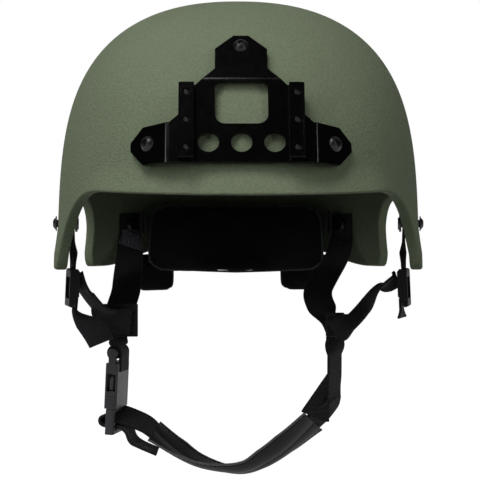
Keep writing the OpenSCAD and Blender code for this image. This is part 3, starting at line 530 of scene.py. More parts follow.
def grid(name: str, columns: int, rows: int, place: Callable[[int, int], Point],
        size: tuple[float, float] | None = None) -> Piece:
    """Adds a grid and moves each of its points to where a rule puts it.

    Args:
        name: name of the piece.
        columns: faces along the grid's first side.
        rows: faces along its second side.
        place: gives the point of a column and a row, in millimetres.
        size: length and width that the map covers, in millimetres.

    Returns:
        The piece.
    """
    deselect()
    bpy.ops.mesh.primitive_grid_add(
        x_subdivisions=columns, y_subdivisions=rows, size=2, calc_uvs=True)
    piece = bpy.context.object
    piece.name = piece.data.name = name
    for vertex in piece.data.vertices:
        i, k = round((vertex.co.x + 1) / 2 * columns), round((vertex.co.y + 1) / 2 * rows)
        vertex.co = Vector(place(i, k)) * MM
    if size:
        for corner in piece.data.uv_layers[0].data:
            corner.uv = (corner.uv[0] * size[0] * MM, corner.uv[1] * size[1] * MM)
    return piece


def tubes(name: str, lines: Iterable[Sequence[Point]], radius: float, closed: bool = False,
        sides: int = 2) -> Piece:
    """Lays round cords or threads along lines, as one piece.

    Args:
        name: name of the piece.
        lines: the lines, each a list of points in millimetres.
        radius: radius of the cord, in millimetres.
        closed: whether each line closes on itself.
        sides: how finely the cord is rounded.

    Returns:
        The piece, as a mesh.
    """
    deselect()
    bpy.ops.curve.primitive_bezier_curve_add()
    drawn = bpy.context.object.data
    bpy.context.object.name = drawn.name = name
    drawn.splines.clear()
    for line in lines:
        spline = drawn.splines.new("POLY")
        spline.points.add(len(line) - 1)
        for point, place in zip(spline.points, line):
            point.co = (*[c * MM for c in place], 1)
        spline.use_cyclic_u = closed
    drawn.bevel_depth = radius * MM
    drawn.bevel_resolution = sides
    drawn.use_fill_caps = not closed
    drawn.dimensions = "3D"
    bpy.ops.object.convert(target="MESH")
    piece = bpy.context.object
    smooth(piece, 60)
    return piece


def copy_of(frame: dict, node: str, name: str) -> Piece:
    """Copies a CAD solid into a new piece without a material.

    Args:
        frame: the loaded frame.
        node: the CAD node.
        name: name of the piece.

    Returns:
        The piece.
    """
    deselect()
    mesh = frame["nodes"][node].data.copy()
    mesh.name = name
    mesh.materials.clear()
    piece = bpy.data.objects.new(name, mesh)
    bpy.context.scene.collection.objects.link(piece)
    return piece


def install(piece: Piece, finish: Finish, *nodes: str, body: Body = Body.HELMET,
        slot: str = "") -> None:
    """Gives a piece its finish and its place in the frame.

    Args:
        piece: the piece.
        finish: its finish.
        nodes: CAD nodes that it stands for.
        body: body that it rides on.
        slot: material slot of the record, if it isn't the finish's own; not used.
    """
    piece.data.materials.clear()
    piece.data.materials.append(finish.material())
    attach(piece, body.value)
    if nodes:
        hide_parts(*nodes)
    LOG.info("%s: %d faces on %s", piece.name, len(piece.data.polygons), body.value)


@dataclass(frozen=True)
class Edge:
    """How a solid's edges are rounded: width, faces across, and the sharpest bend left as it is."""

    width: float
    segments: int = 3
    angle: float = 32


def dress(frame: dict, node: str, name: str, finish: Finish, edge: Edge,
        body: Body = Body.HELMET) -> None:
    """Puts a copy of a CAD solid, merged and with rounded edges, in the solid's place.

    Args:
        frame: the loaded frame.
        node: the CAD node.
        name: name of the new piece.
        finish: its finish.
        edge: how its edges are rounded.
        body: body that it rides on.
    """
    piece = copy_of(frame, node, name)
    pick(piece)
    if piece.data.has_custom_normals:
        bpy.ops.mesh.customdata_custom_splitnormals_clear()
    edit_all(piece)
    bpy.ops.mesh.remove_doubles(threshold=0.002 * MM)
    bpy.ops.mesh.dissolve_limited(angle_limit=radians(0.6))
    bpy.ops.object.mode_set(mode="OBJECT")
    finish_with(piece, "BEVEL", width=edge.width * MM, segments=edge.segments, limit_method="ANGLE",
        angle_limit=radians(edge.angle), use_clamp_overlap=True, miter_outer="MITER_ARC")
    smooth(piece, edge.angle + 18)
    finish_with(piece, "WEIGHTED_NORMAL", keep_sharp=True, weight=80)
    install(piece, finish, node, body=body)


# ---------------------------------------------------------------- paths


def mix(a: float, b: float, u: float) -> float:
    """Returns the value a share u of the way from a to b."""
    return a + (b - a) * u


def ease(x: float) -> float:
    """Returns a smooth step from zero to one."""
    c = min(1.0, max(0.0, x))
    return c * c * (3 - 2 * c)


def turn_gap(a: float, b: float) -> float:
    """Returns the shorter turn from angle a to angle b."""
    d = b - a
    return d - 360 if d > 180 else d + 360 if d < -180 else d


def signed_power(x: float, power: float) -> float:
    """Returns the power of a number's size, with the number's sign."""
    return copysign(abs(x) ** power, x)


def oblong(turn: float, wide: float, high: float, power: float) -> tuple[float, float]:
    """Returns how far across and up the edge of a round-cornered oblong lies at an angle."""
    a = radians(turn)
    return wide / 2 * signed_power(cos(a), 2 / power), high / 2 * signed_power(sin(a), 2 / power)


def through(points: Sequence[Point], steps: int) -> list[Vector]:
    """Draws a smooth curve through given points.

    Args:
        points: the points.
        steps: steps from each point to the next.

    Returns:
        The curve's points.
    """
    p = [Vector(q) for q in points]
    last = len(p) - 1
    out = []
    for i in range(last):
        a, b, c, d = p[max(i - 1, 0)], p[i], p[i + 1], p[min(i + 2, last)]
        for k in range(steps):
            u = k / steps
            out.append(0.5 * (2 * b + (c - a) * u + (2 * a - 5 * b + 4 * c - d) * u * u
                + (3 * b - a - 3 * c + d) * u * u * u))
    return out + [p[last]]


def bend(a: Vector, b: Vector, c: Vector, d: Vector, steps: int) -> list[Vector]:
    """Draws one smooth bend from a to d that leaves toward b and arrives from c.

    Args:
        a: where it starts.
        b: toward which it leaves.
        c: from which it arrives.
        d: where it ends.
        steps: steps along it.

    Returns:
        The bend's points.
    """
    out = []
    for k in range(steps + 1):
        u = k / steps
        v = 1 - u
        out.append(a * v**3 + b * 3 * v * v * u + c * 3 * v * u * u + d * u**3)
    return out


def turning(sides: Sequence[Point], steps: int) -> list[Vector]:
    """Turns a direction in even steps from each given one to the next.

    Args:
        sides: the given directions.
        steps: steps from each given one to the next.

    Returns:
        The directions, each of length one.
    """
    s = [Vector(q) for q in sides]
    out = []
    for a, b in zip(s, s[1:]):
        out += [(a + (b - a) * (k / steps)).normalized() for k in range(steps)]
    return out + [s[-1].normalized()]


def mirrored(points: Iterable[Vector], side: int) -> list[Vector]:
    """Puts points or directions on the wearer's left (1) or right (-1)."""
    return [vec(p[0] * side, p[1], p[2]) for p in points]


def lengths(path: Sequence[Vector]) -> list[float]:
    """Returns the distance along a path at each of its points.

    Args:
        path: the path.

    Returns:
        The distances, the first one zero.
    """
    out = [0.0]
    for a, b in zip(path, path[1:]):
        out.append(out[-1] + (b - a).length)
    return out


@dataclass
class Strip:
    """A flat strip along a path, with its rounded edges and its own map.

    Attributes:
        path: the middle line.
        sides: direction across the strip at each point.
        width: width of the strip.
        thick: its thickness.
        spread: share of the width at each point.
        cup: how far the middle stands out over the edges at each point.
        across: faces over the width.
        worn: how much thinner than its solid it is built.
        edge_share: width of its rounded edges, as a share of the thickness.
    """

    path: list[Vector]
    sides: list[Vector]
    width: float
    thick: float
    spread: list[float] | None = None
    cup: list[float] | None = None
    across: int = 10
    worn: float = 0.1
    edge_share: float = 0.36

    def frame(self, i: int) -> tuple[Vector, Vector, Vector]:
        """Gives the point, the direction across and the direction through at a place.

        Args:
            i: place along the path.

        Returns:
            The three, in that order.
        """
        ahead = (self.path[min(i + 1, len(self.path) - 1)] - self.path[max(i - 1, 0)]).normalized()
        side = self.sides[i] - ahead * self.sides[i].dot(ahead)
        side.normalize()
        return self.path[i], side, ahead.cross(side)

    def point(self, i: int, share: float, out: float = 0) -> Vector:
        """Gives a point of the strip.

        Args:
            i: place along the path.
            share: from -1 at one edge to 1 at the other.
            out: distance from the middle of the thickness.

        Returns:
            The point, in millimetres.
        """
        middle, side, face = self.frame(i)
        wide = self.width * (self.spread[i] if self.spread else 1)
        rise = self.cup[i] if self.cup else 0
        return middle + side * (share * wide / 2) + face * (out + rise * (1 / 3 - share * share))

    def build(self, name: str) -> Piece:
        """Builds the strip from a grid with a thickness and rounded edges.

        Args:
            name: name of the piece.

        Returns:
            The piece.
        """
        run = lengths(self.path)
        last = len(run) - 1
        thin = self.thick - self.worn
        piece = grid(name, last, self.across,
            lambda i, k: self.point(i, 2 * k / self.across - 1), (1, self.width))
        for corner in piece.data.uv_layers[0].data:
            corner.uv = (run[min(last, round(corner.uv[0] / MM * last))] * MM, corner.uv[1])
        finish_with(piece, "SOLIDIFY", thickness=thin * MM, offset=0, use_even_offset=False)
        finish_with(piece, "BEVEL", width=thin * self.edge_share * MM, segments=3,
            limit_method="ANGLE", angle_limit=radians(50))
        clean(piece, 0.002)
        smooth(piece, 50)
        return piece

    def stitches(self, lines: Sequence[tuple[float, ...]], out: float,
            stitch: float = 2.6) -> list[list[Vector]]:
        """Lays stitches on the strip's face.

        Args:
            lines: for each row of stitches, the start and end along the strip as distances,
                and the start and end across it as shares.
            out: distance from the middle of the thickness.
            stitch: length of one stitch with its gap.

        Returns:
            A short line for each stitch.
        """
        run = lengths(self.path)

        def at(s: float, share: float) -> Vector:
            """Returns the point at a distance along and a share across.

            Args:
                s: distance along the strip.
                share: from -1 at one edge to 1 at the other.

            Returns:
                The point.
            """
            s = min(max(s, 0), run[-1])
            i = max(k for k in range(len(run)) if run[k] <= s + 1e-9)
            j = min(i + 1, len(run) - 1)
            u = 0 if i == j else (s - run[i]) / (run[j] - run[i])
            return self.point(i, share, out).lerp(self.point(j, share, out), u)

        laid = []
        for s0, s1, w0, w1 in lines:
            count = max(1, round(hypot(s1 - s0, (w1 - w0) * self.width / 2) / stitch))
            for n in range(count):
                u0, u1 = (n + 0.14) / count, (n + 0.86) / count
                laid.append([at(mix(s0, s1, u), mix(w0, w1, u)) for u in (u0, (u0 + u1) / 2, u1)])
        return laid

    def box(self, s0: float, s1: float, edge: float = 0.78) -> list[tuple[float, ...]]:
        """Returns the rows of a sewn box with its cross, between two distances."""
        return [(s0, s0, -edge, edge), (s1, s1, -edge, edge), (s0, s1, -edge, -edge),
            (s0, s1, edge, edge), (s0, s1, -edge, edge), (s0, s1, edge, -edge)]


# ---------------------------------------------------------------- shell


@dataclass
class Dome:
    """The shell's outer form, from which the shell, the pads and the straps take their places."""

    width: float = 242
    length: float = 276
    height: float = 178.5
    wall: float = 7.5
    brim_z: float = 45
    ear_arch: float = 50
    brim_flare: float = 5
    ear_flare: float = 2.2
    rim_round: float = 1.6
    lean: float = 0.0212
    plan: float = 2.2
    top_side: tuple[float, float] = (3.9, 2.32)
    top_front: tuple[float, float] = (3.0, 2.1)
    top_rear: tuple[float, float] = (3.3, 2.2)
    flare_start: float = 36
    flare_turn: float = 30
    brim_reach: float = 19
    ear_reach: float = 30
    flare_drop: float = 20
    band_radius: float = 112
    nape_arc: float = 146
    eye: Vector = field(default_factory=lambda: UP * 60)

    def fall(self, z: float, h: float, p: tuple[float, float]) -> float:
        """Returns the share of the width that is left at a height."""
        return max(1e-9, 1 - (max(0.0, z) / h) ** p[0]) ** (1 / p[1])

    def half_w(self, z: float, t: float) -> float:
        """Returns half the width at height z, t inside the outer face."""
        return (self.width / 2 - t - self.lean * z) * self.fall(z, self.height - t, self.top_side)

    def half_l(self, a: float, z: float, t: float) -> float:
        """Returns half the length at angle a and height z, t inside the outer face."""
        power = self.top_front if cos(radians(a)) > 0 else self.top_rear
        return (self.length / 2 - t) * self.fall(z, self.height - t, power)

    def flare(self, a: float, z: float) -> float:
        """Returns how far the rim flares out at angle a and height z.

        Args:
            a: angle from the front.
            z: height.

        Returns:
            The distance.
        """
        turn = degrees(acos(max(-1, min(1, cos(radians(a))))))
        u = ease((turn - self.flare_start) / self.flare_turn)
        drop = (mix(self.brim_z + self.brim_reach, self.ear_reach, u) - z) / self.flare_drop
        return mix(self.brim_flare, self.ear_flare, u) * min(1, max(0, drop)) ** 1.3

    def radius(self, a: float, z: float, t: float) -> float:
        """Returns the distance from the middle line at angle a and height z.

        Args:
            a: angle from the front.
            z: height.
            t: depth inside the outer face.

        Returns:
            The distance.
        """
        s, c = abs(sin(radians(a))), abs(cos(radians(a)))
        body = (s / self.half_w(z, t)) ** self.plan + (c / self.half_l(a, z, t)) ** self.plan
        return body ** (-1 / self.plan) + self.flare(a, z)

    def surf(self, a: float, z: float, t: float) -> Vector:
        """Returns the point at angle a from the front, height z, and t inside the outer face."""
        r = self.radius(a, z, t)
        return vec(r * sin(radians(a)), -r * cos(radians(a)), z)

    def inside(self, p: Vector, t: float) -> bool:
        """Tells whether a point lies inside the face that is t inside the outer face."""
        a = degrees(atan2(p.x, -p.y))
        return p.z < self.height - t and hypot(p.x, p.y) < self.radius(a, p.z, t)

    def reach(self, d: Vector, t: float) -> float:
        """Returns how far a ray from the dome's eye runs before it crosses a face.

        Args:
            d: direction of the ray.
            t: depth inside the outer face.

        Returns:
            The distance.
        """
        near, far = 0.0, 220.0
        for _ in range(22):
            m = (near + far) / 2
            near, far = (m, far) if self.inside(self.eye + d * m, t) else (near, m)
        return (near + far) / 2

    def ray_point(self, az: float, el: float, u: float, v: float, t: float) -> Vector:
        """Returns a point beside a direction from the dome's eye.

        Args:
            az: direction round the shell.
            el: direction up.
            u: distance to the right.
            v: distance up.
            t: depth inside the outer face.

        Returns:
            The point.
        """
        a, e = radians(az), radians(el)
        n = vec(cos(e) * sin(a), -cos(e) * cos(a), sin(e))
        right = vec(cos(a), sin(a), 0)
        up = vec(-sin(e) * sin(a), sin(e) * cos(a), cos(e))
        d = (n * self.reach(n, self.wall) + right * u + up * v).normalized()
        return self.eye + d * self.reach(d, t)

    def band_point(self, a: float, z: float, u: float, v: float, t: float) -> Vector:
        """Returns a point of the lower band, u round the shell and v up from a place on it."""
        return self.surf(a + degrees(u / self.band_radius), z + v, t)

    def half_rim(self) -> list[tuple[float, float]]:
        """Returns half of the rim, from the brow to the nape, as pairs of angle and height.

        Returns:
            The pairs, one for each column of the half.
        """
        brim_end, prong, arch0, arch1, nape, nape_z = 42, 67, 84, 121, 126, 16
        out = [(a, self.brim_z + 3.5 * (a / brim_end) ** 2) for a in range(0, brim_end + 1, 6)]
        out += [(mix(brim_end, prong, u), (self.brim_z + 3.5) * (1 - u * u) ** 0.8)
            for u in (0.2, 0.4, 0.6, 0.75, 0.88)]
        out += [(a, 0) for a in (prong, 72.5, 78)]
        middle, reach = (arch0 + arch1) / 2, (arch1 - arch0) / 2
        out += [(middle + reach * signed_power(cos(radians(180 - turn)), 0.5),
            self.ear_arch * abs(sin(radians(turn))) ** 0.5) for turn in range(0, 181, 15)]
        return out + [(a, nape_z * ease((a - nape - 5) / 31)) for a in range(nape, 181, 6)]


@dataclass
class Shell:
    """The moulded shell with its flared brim, ear arches and rounded painted edge."""

    dome: Dome
    rows: int = 64
    round_steps: int = 4
    rounds: int = 2

    def rim(self) -> list[tuple[float, float, float]]:
        """Rounds off the rim's corners.

        Returns:
            Angle, height and the angle at the crown for each column.
        """
        half = self.dome.half_rim()
        whole = half + [(360 - a, z) for a, z in reversed(half[1:-1])]
        loop = [(a, z, 360 * i / len(whole)) for i, (a, z) in enumerate(whole)]
        for _ in range(self.rounds):
            cut = []
            for i, p in enumerate(loop):
                q = loop[(i + 1) % len(loop)]
                turn = 360 if i + 1 == len(loop) else 0
                q = (q[0] + turn, q[1], q[2] + turn)
                cut += [tuple(mix(p[n], q[n], s) for n in range(3)) for s in (0.25, 0.75)]
            loop = cut
        return loop

    def build(self, name: str) -> Piece:
        """Builds the shell as rings from the outer crown, round the rim, to the inner crown.

        Args:
            name: name of the piece.

        Returns:
            The piece.
        """
        dome, rim = self.dome, self.rim()
        count = len(rim)

        def rim_in(i: int, d: float) -> tuple[float, float]:
            """Returns a rim point moved onto the shell by a distance, square to the rim.

            Args:
                i: column.
                d: the distance.

            Returns:
                Angle and height.
            """
            a, z, _ = rim[i]
            before, after = rim[i - 1], rim[(i + 1) % count]
            r = dome.radius(a, z, 0) * (pi / 180)
            across, up = turn_gap(before[0], after[0]) * r, after[1] - before[1]
            long = hypot(across, up)
            return a - up / long * d / r, z + across / long * d

        def column(i: int, share: float, t: float) -> Vector:
            """Returns the point of a column at a share of its way to the crown.

            Args:
                i: column.
                share: zero at the rim, one at the crown.
                t: depth inside the outer face.

            Returns:
                The point.
            """
            a, z = rim_in(i, dome.rim_round)
            return dome.surf(a + turn_gap(a % 360, rim[i][2] % 360) * ease(share),
                mix(z, dome.height - t, 1 - (1 - share) ** 1.6), t)

        def ring(back: float, depth: float) -> list[Vector]:
            """Returns a ring of the rounded edge, by its distances from the rim and the outside."""
            return [dome.surf(*rim_in(i, back), depth) for i in range(count)]

        steps = range(self.rows + 1)
        rings = [[column(i, 1 - k / self.rows, 0) for i in range(count)] for k in steps]
        turns = [k / self.round_steps * pi / 2 for k in range(self.round_steps + 1)]
        r, wall = dome.rim_round, dome.wall
        rings += [ring(r * (1 - sin(a)), r * (1 - cos(a))) for a in turns[1:]]
        rings += [ring(r * (1 - cos(a)), wall - r + r * sin(a)) for a in turns[:-1]]
        rings += [[column(i, k / self.rows, wall) for i in range(count)] for k in steps]
        piece = grid(name, count, len(rings) - 1, lambda i, k: rings[k][i % count])
        clean(piece, 0.01)
        smooth(piece)
        return piece

    def install(self) -> None:
        """Puts the shell in the place of its solid."""
        install(self.build("shell_moulded"), SHELL_PAINT, "shell")


# ---------------------------------------------------------------- bracket


@dataclass
class Bracket:
    """The front bracket with its rails, and the screws, bolts, washers and nuts."""

    frame: dict
    sheet_edge: Edge = Edge(0.45, angle=24)
    rail_edge: Edge = Edge(0.6)
    steel_edge: Edge = Edge(0.22, 2, 40)

    def install(self) -> None:
        """Rounds the edges as sheet work and turned steel have them, and installs the parts."""
        dress(self.frame, "bracket_plate", "bracket_sheet", BRACKET_COAT, self.sheet_edge)
        for side in ("left", "right"):
            dress(self.frame, f"bracket_rail_{side}", f"bracket_rail_bar_{side}", BRACKET_COAT,
                self.rail_edge)
        for kind in ("rail_screw", "bracket_bolt", "bracket_nut", "strap_bolt", "strap_washer",
                "strap_nut"):
            steel = PLAIN_STEEL if kind.endswith("nut") else BLACK_STEEL
            dress(self.frame, kind + "s", kind + "_set", steel, self.steel_edge)


# ---------------------------------------------------------------- liner


@dataclass
class Pad:
    """One foam pad of the liner: its direction, its size and how square it is."""

    node: str
    az: float
    el: float
    wide: float
    high: float
    power: float


@dataclass
class Liner:
    """Foam pads on hook discs: each is swelled by cloth simulation and gets a sewn edge."""

    frame: dict
    dome: Dome
    depth: float = 9.5
    thick: float = 19
    cap: float = 2.0
    pressure: float = 4
    frames: int = 20
    pads: list[Pad] = field(default_factory=lambda: [
        Pad("crown_pad", 0, 90, 116, 116, 2), Pad("front_pad", 0, 15, 88, 60, 4),
        Pad("rear_pad", 180, 15, 100, 60, 4), Pad("front_pad_left", 58, 9, 96, 46, 4),
        Pad("front_pad_right", -58, 9, 96, 46, 4), Pad("rear_pad_left", 120, 9, 96, 46, 4),
        Pad("rear_pad_right", -120, 9, 96, 46, 4)])

    def cushion(self, node: str, name: str, voxel: float, shrink: float) -> Piece:
        """Swells a copy of a solid into a cushion.

        Args:
            node: the CAD node.
            name: name of the piece.
            voxel: size of the faces that it is rebuilt from.
            shrink: how far it starts inside its solid.

        Returns:
            The piece, with its simulation applied.
        """
        piece = copy_of(self.frame, node, name)
        clean(piece, 0.01)
        smooth(piece)
        finish_with(piece, "DISPLACE", strength=-shrink * MM, mid_level=0)
        finish_with(piece, "REMESH", mode="VOXEL", voxel_size=voxel * MM, use_smooth_shade=True)
        self.swell(piece)
        finish_with(piece, "SMOOTH", factor=0.5, iterations=3)
        finish_with(piece, "SUBSURF", levels=1, render_levels=1)
        smooth(piece)
        return piece

    def swell(self, piece: Piece) -> None:
        """Blows a piece up as cloth, lets no point move further than the cap, and applies it.

        Args:
            piece: the piece.
        """
        pick(piece)
        rest = [v.co.copy() for v in piece.data.vertices]
        modifier = piece.modifiers.new("cloth", "CLOTH")
        modifier.settings.use_pressure = True
        modifier.settings.uniform_pressure_force = self.pressure
        modifier.settings.effector_weights.gravity = 0
        modifier.point_cache.frame_start, modifier.point_cache.frame_end = 1, self.frames
        scene = bpy.context.scene
        for frame in range(1, self.frames + 1):
            scene.frame_set(frame)
        bpy.ops.object.modifier_apply(modifier=modifier.name)
        scene.frame_set(1)
        for vertex, start in zip(piece.data.vertices, rest):
            move = vertex.co - start
            if move.length > self.cap * MM:
                vertex.co = start + move.normalized() * self.cap * MM

    def sew(self, node: str, names: tuple[str, str], finish: Finish, fill: float, ring: Ring,
            cord: float = 0.9, voxel: float = 4.5, shrink: float = 1.2) -> None:
        """Builds and installs a cushion, with the cord sewn round it where its covers meet.

        Args:
            node: the CAD node that it stands for.
            names: names of the cushion and the cord.
            finish: the cover's finish.
            fill: how full it is, from zero to one; not used.
            ring: gives the point at an angle round it.
            cord: radius of the cord.
            voxel: size of the faces that it is rebuilt from.
            shrink: how far it starts inside its solid.
        """
        piece = self.cushion(node, names[0], voxel, shrink)
        line, steps, proud = [], 96, 0.25
        for k in range(steps):
            _, near, normal, _ = piece.closest_point_on_mesh(ring(k * 360 / steps) * MM)
            line.append((near / MM) + normal * cord * proud)
        install(piece, finish, node)
        install(tubes(names[1], [line], cord, closed=True), THREAD, slot=finish.slot)

    def install(self) -> None:
        """Builds the seven pads with their edges, and dresses the hook discs."""
        seam = self.depth + self.thick * 0.4
        for pad in self.pads:
            self.sew(pad.node, (pad.node + "_foam", pad.node + "_seam"), PAD_COVER, 0.8,
                lambda turn, p=pad: self.dome.ray_point(
                    p.az, p.el, *oblong(turn, p.wide, p.high, p.power), seam))
        discs = self.frame["nodes"]["hook_discs"]
        discs.data.materials.clear()
        discs.data.materials.append(HOOK_TAPE.material())


@dataclass
class NapeGear:
    """The nape pad with its two lobes and its buckles."""

    frame: dict
    dome: Dome
    liner: Liner
    mid_z: float = 20.5
    high: float = 56
    depth: float = 21.5
    thick: float = 9
    square: float = 5
    lobe_z: float = -5
    lobe_h: float = 28
    lobe_depth: float = 18.5

    def install(self) -> None:
        """Builds the nape pad, its lobes and the buckles."""
        seam = self.depth + self.thick * 0.5
        self.liner.sew("nape_pad", ("nape_pad_foam", "nape_pad_seam"), NAPE_COVER, 0.7,
            lambda turn: self.dome.band_point(180, self.mid_z,
                *oblong(turn, self.dome.nape_arc, self.high, self.square), seam),
            0.8, 3.2, 0.9)
        for side, a, wide in (("left", 153, 42), ("right", -149, 32)):
            self.liner.sew(f"nape_tab_{side}", (f"nape_lobe_{side}", f"nape_lobe_seam_{side}"),
                NAPE_COVER, 0.5, lambda turn, a=a, wide=wide: self.dome.band_point(
                    a, self.lobe_z, *oblong(turn, wide, self.lobe_h, self.square), self.lobe_depth),
                0.7, 1.8, 0.35)
        dress(self.frame, "nape_buckles", "nape_adjusters", SLIDER_PLASTIC, Edge(0.4, 2))


# ---------------------------------------------------------------- straps


@dataclass
class Straps:
    """Webbing of the chin strap's helmet side, with its sliders and sewn junctions.

    Paths are drawn on the left form of a side (x outward), and mirrored for the right.
    """

    frame: dict
    dome: Dome
    web_w: float = 20
    web_t: float = 1.8
    gap: float = 0.3
    strap_gap: float = 1.2
    front_angle: float = 76
    bolt_z: float = 30
    slider_z: float = -12
    slider_h: float = 25
    slider_inner: float = 3.5
    slider_grip: float = 6.5
    lean: float = 2.5
    hang: float = 5
    hang_y: float = 14
    swing_y: float = -8
    swing_z: float = -47
    inward: dict[int, float] = field(default_factory=lambda: {1: 55.6, -1: 41})
    patches: dict[int, tuple[float, float]] = field(
        default_factory=lambda: {1: (12.5, 16), -1: (25, 22)})
    layer_y: float = 0.93
    thread: float = 0.28
    nape_z: float = 32
    nape_gap: float = 14
    nape_thick: float = 9

    def __post_init__(self) -> None:
        """Finds the places of the strap bolts on the shell, and how the shell turns there."""
        wall = self.dome.wall
        rear_angle = 180 - degrees((self.dome.nape_arc / 2 + 5.2) / self.dome.band_radius)

        def turned(a: float) -> float:
            """Returns the turn of the shell's inner face at an angle."""
            d = self.dome.surf(a + 1, self.bolt_z, wall) - self.dome.surf(a - 1, self.bolt_z, wall)
            return degrees(atan2(-d.x, d.y))

        self.front_foot = self.dome.surf(self.front_angle, self.bolt_z, wall)
        self.rear_foot = self.dome.surf(rear_angle, self.bolt_z, wall)
        self.front_turn, self.rear_turn = turned(self.front_angle), turned(rear_angle)
        self.strap_x = -self.strap_gap - self.web_t / 2

    def place(self, foot: Vector, turn: float, x: float, y: float, z: float) -> Vector:
        """Returns a point in the frame of a strap bolt."""
        c, s = cos(radians(turn)), sin(radians(turn))
        return vec(foot.x + x * c - y * s, foot.y + x * s + y * c, z)

    def at_front(self, x: float, z: float, y: float = 0) -> Vector:
        """Returns a point in the frame of the hanging front strap, leaned out and turned in.

        Args:
            x: distance out from the shell.
            z: height.
            y: distance across the strap.

        Returns:
            The point.
        """
        c, s = cos(radians(self.hang)), sin(radians(self.hang))
        x, y = x - self.strap_x, y - self.hang_y
        x, y = self.strap_x + x * c + y * s, self.hang_y - x * s + y * c
        c, s = cos(radians(self.lean)), sin(radians(self.lean))
        drop = self.bolt_z - z
        return self.place(self.front_foot, self.front_turn, x * c + drop * s, y,
            self.bolt_z - drop * c + x * s)

    def at_rear(self, x: float, y: float, z: float) -> Vector:
        """Returns a point in the frame of the rear strap bolt."""
        return self.place(self.rear_foot, self.rear_turn, x, y, z)

    def across(self, turn: float) -> Vector:
        """Returns the direction across a strap at a bolt."""
        return vec(-sin(radians(turn)), cos(radians(turn)), 0)

    def junction(self, side: int) -> Vector:
        """Returns the middle of the sewn junction on the left form of a side."""
        above = self.web_t / 2 + self.gap + self.patches[side][1] / 2
        return vec(self.dome.width / 2 - self.inward[side], self.swing_y, self.swing_z + above)

    def strip(self, side: int, path: list[Vector], sides: list[Vector],
            width: float | None = None) -> Strip:
        """Makes a strip on one side of the helmet."""
        return Strip(mirrored(path, side), mirrored(sides, side), width or self.web_w, self.web_t)

    def front(self, side: int) -> Strip:
        """Draws the front strap from its bolt down into the slider, turned to the front halfway.

        Args:
            side: 1 for the wearer's left, -1 for the right.

        Returns:
            The strap.
        """
        low = self.slider_z - self.slider_h / 2 + self.slider_grip
        path = [self.place(self.front_foot, self.front_turn, self.strap_x, 0, self.bolt_z + z)
            for z in (10, -1, -12)] + [self.at_front(self.strap_x, z) for z in (11, 5, 0, -5, low)]
        turns = [0, 0, 2, self.hang + 5, self.hang + 1, self.hang, self.hang, self.hang]
        sides = turning([self.across(self.front_turn - t) for t in turns], 6)
        return self.strip(side, through(path, 6), sides)

    def lower(self, side: int) -> Strip:
        """Draws the strap from the slider to the junction below the ear.

        Args:
            side: 1 for the wearer's left, -1 for the right.

        Returns:
            The strap.
        """
        x = self.strap_x - self.slider_inner - 2 * self.gap - self.web_t / 2
        end = self.junction(side) - BACK * (self.web_t * 1.5 + 3 * self.gap)
        front = self.across(self.front_turn - self.hang)
        if side > 0:
            flat = vec(-0.76, 0, 0.65)
            path = [self.at_front(x, -6) + LEFT * 0.4, self.at_front(x, -8) - vec(3, 0.5, 0),
                self.at_front(x, -11.5) - vec(11, 4, 0), end + vec(19.6, -8, 13.4),
                end + vec(9.3, -8, 2.2), end + vec(-1, 0, -5)]
            sides = [front - UP * 0.85, front - UP * 0.8, BACK - UP * 0.1,
                BACK + 0.4 * flat, BACK + 0.5 * flat, flat]
        else:
            flat, tilt = vec(0.35, 0, -0.94), vec(0.42, 1, -0.3)
            path = [self.at_front(x, -2), self.at_front(x, -9) - LEFT * 2,
                end + vec(20.3, -9, 18.5), end + vec(13.2, -8.5, 9.5), end + vec(5, -2, 0.5),
                end + vec(-8, 0, -1)]
            sides = [front, front + 0.15 * flat, tilt, tilt, flat + 0.2 * BACK, flat]
        sides = [direction.normalized() for direction in sides]
        return self.strip(side, through(path, 12), turning(sides, 12), self.web_w * 0.85)

    def tail(self, side: int) -> Strip:
        """Draws the loose end below the slider: straight on the left, curled on the right.

        Args:
            side: 1 for the wearer's left, -1 for the right.

        Returns:
            The strap.
        """
        x = self.strap_x - self.web_t - 0.4 - 0.3
        front = self.across(self.front_turn - self.hang)
        if side > 0:
            path = [self.at_front(x, self.slider_z - d)
                for d in (self.slider_grip, 9, 12, 15, 18, 20)]
            last = self.across(self.front_turn - self.hang - 11)
            return self.strip(side, path, [front] * 3 + turning([front, last], 2))
        low = self.slider_z - 14
        path = bend(self.at_front(x, low), self.at_front(x - 4, low - 5, -2),
            self.at_front(x - 12.5, low - 12, -11),
            self.at_front(x - 17, self.slider_z - 35, -13), 20)
        last = vec(-0.5, 0.66, 0.56).normalized()
        return self.strip(side, [self.at_front(x, self.slider_z - self.slider_grip)] + path,
            [front] + turning([front, front.lerp(last, 0.7), last], 10))

    def rear(self, side: int) -> Strip:
        """Draws the rear strap from its bolt forward and down to the junction.

        Args:
            side: 1 for the wearer's left, -1 for the right.

        Returns:
            The strap.
        """
        thick = self.web_t * 1.5 + 2 * self.gap
        if side > 0:
            out, up, shift, above = 63, vec(10, 20, 14), vec(-1.5, thick, -4), vec(-5, 1.5, 14)
        else:
            out, up, shift, above = 43.5, vec(0.5, 24, 14), vec(1, thick, -6), vec(0, 4, 16)
        across, across_mid = self.across(self.rear_turn), vec(-1, 0.15, 0).normalized()
        top = self.at_rear(self.strap_x, 0, self.bolt_z)
        mid = vec(self.dome.width / 2 - out, 28, -13)
        end = self.junction(side) + shift
        first = bend(top - UP * 6.5, top - vec(1, 1, 24), mid + up, mid, 24)
        second = bend(mid, mid - up * 0.6, end + above, end, 18)
        strap = self.strip(side, [top + UP * z for z in (9, 5, 1, -3)] + first + second[1:],
            [across] * 4 + turning([across, across_mid], 24) + turning([across_mid, -LEFT], 18)[1:])
        if side > 0:
            strap.spread = [1 - 0.5 * ease((i - 38) / 6) for i in range(len(strap.path))]
        return strap

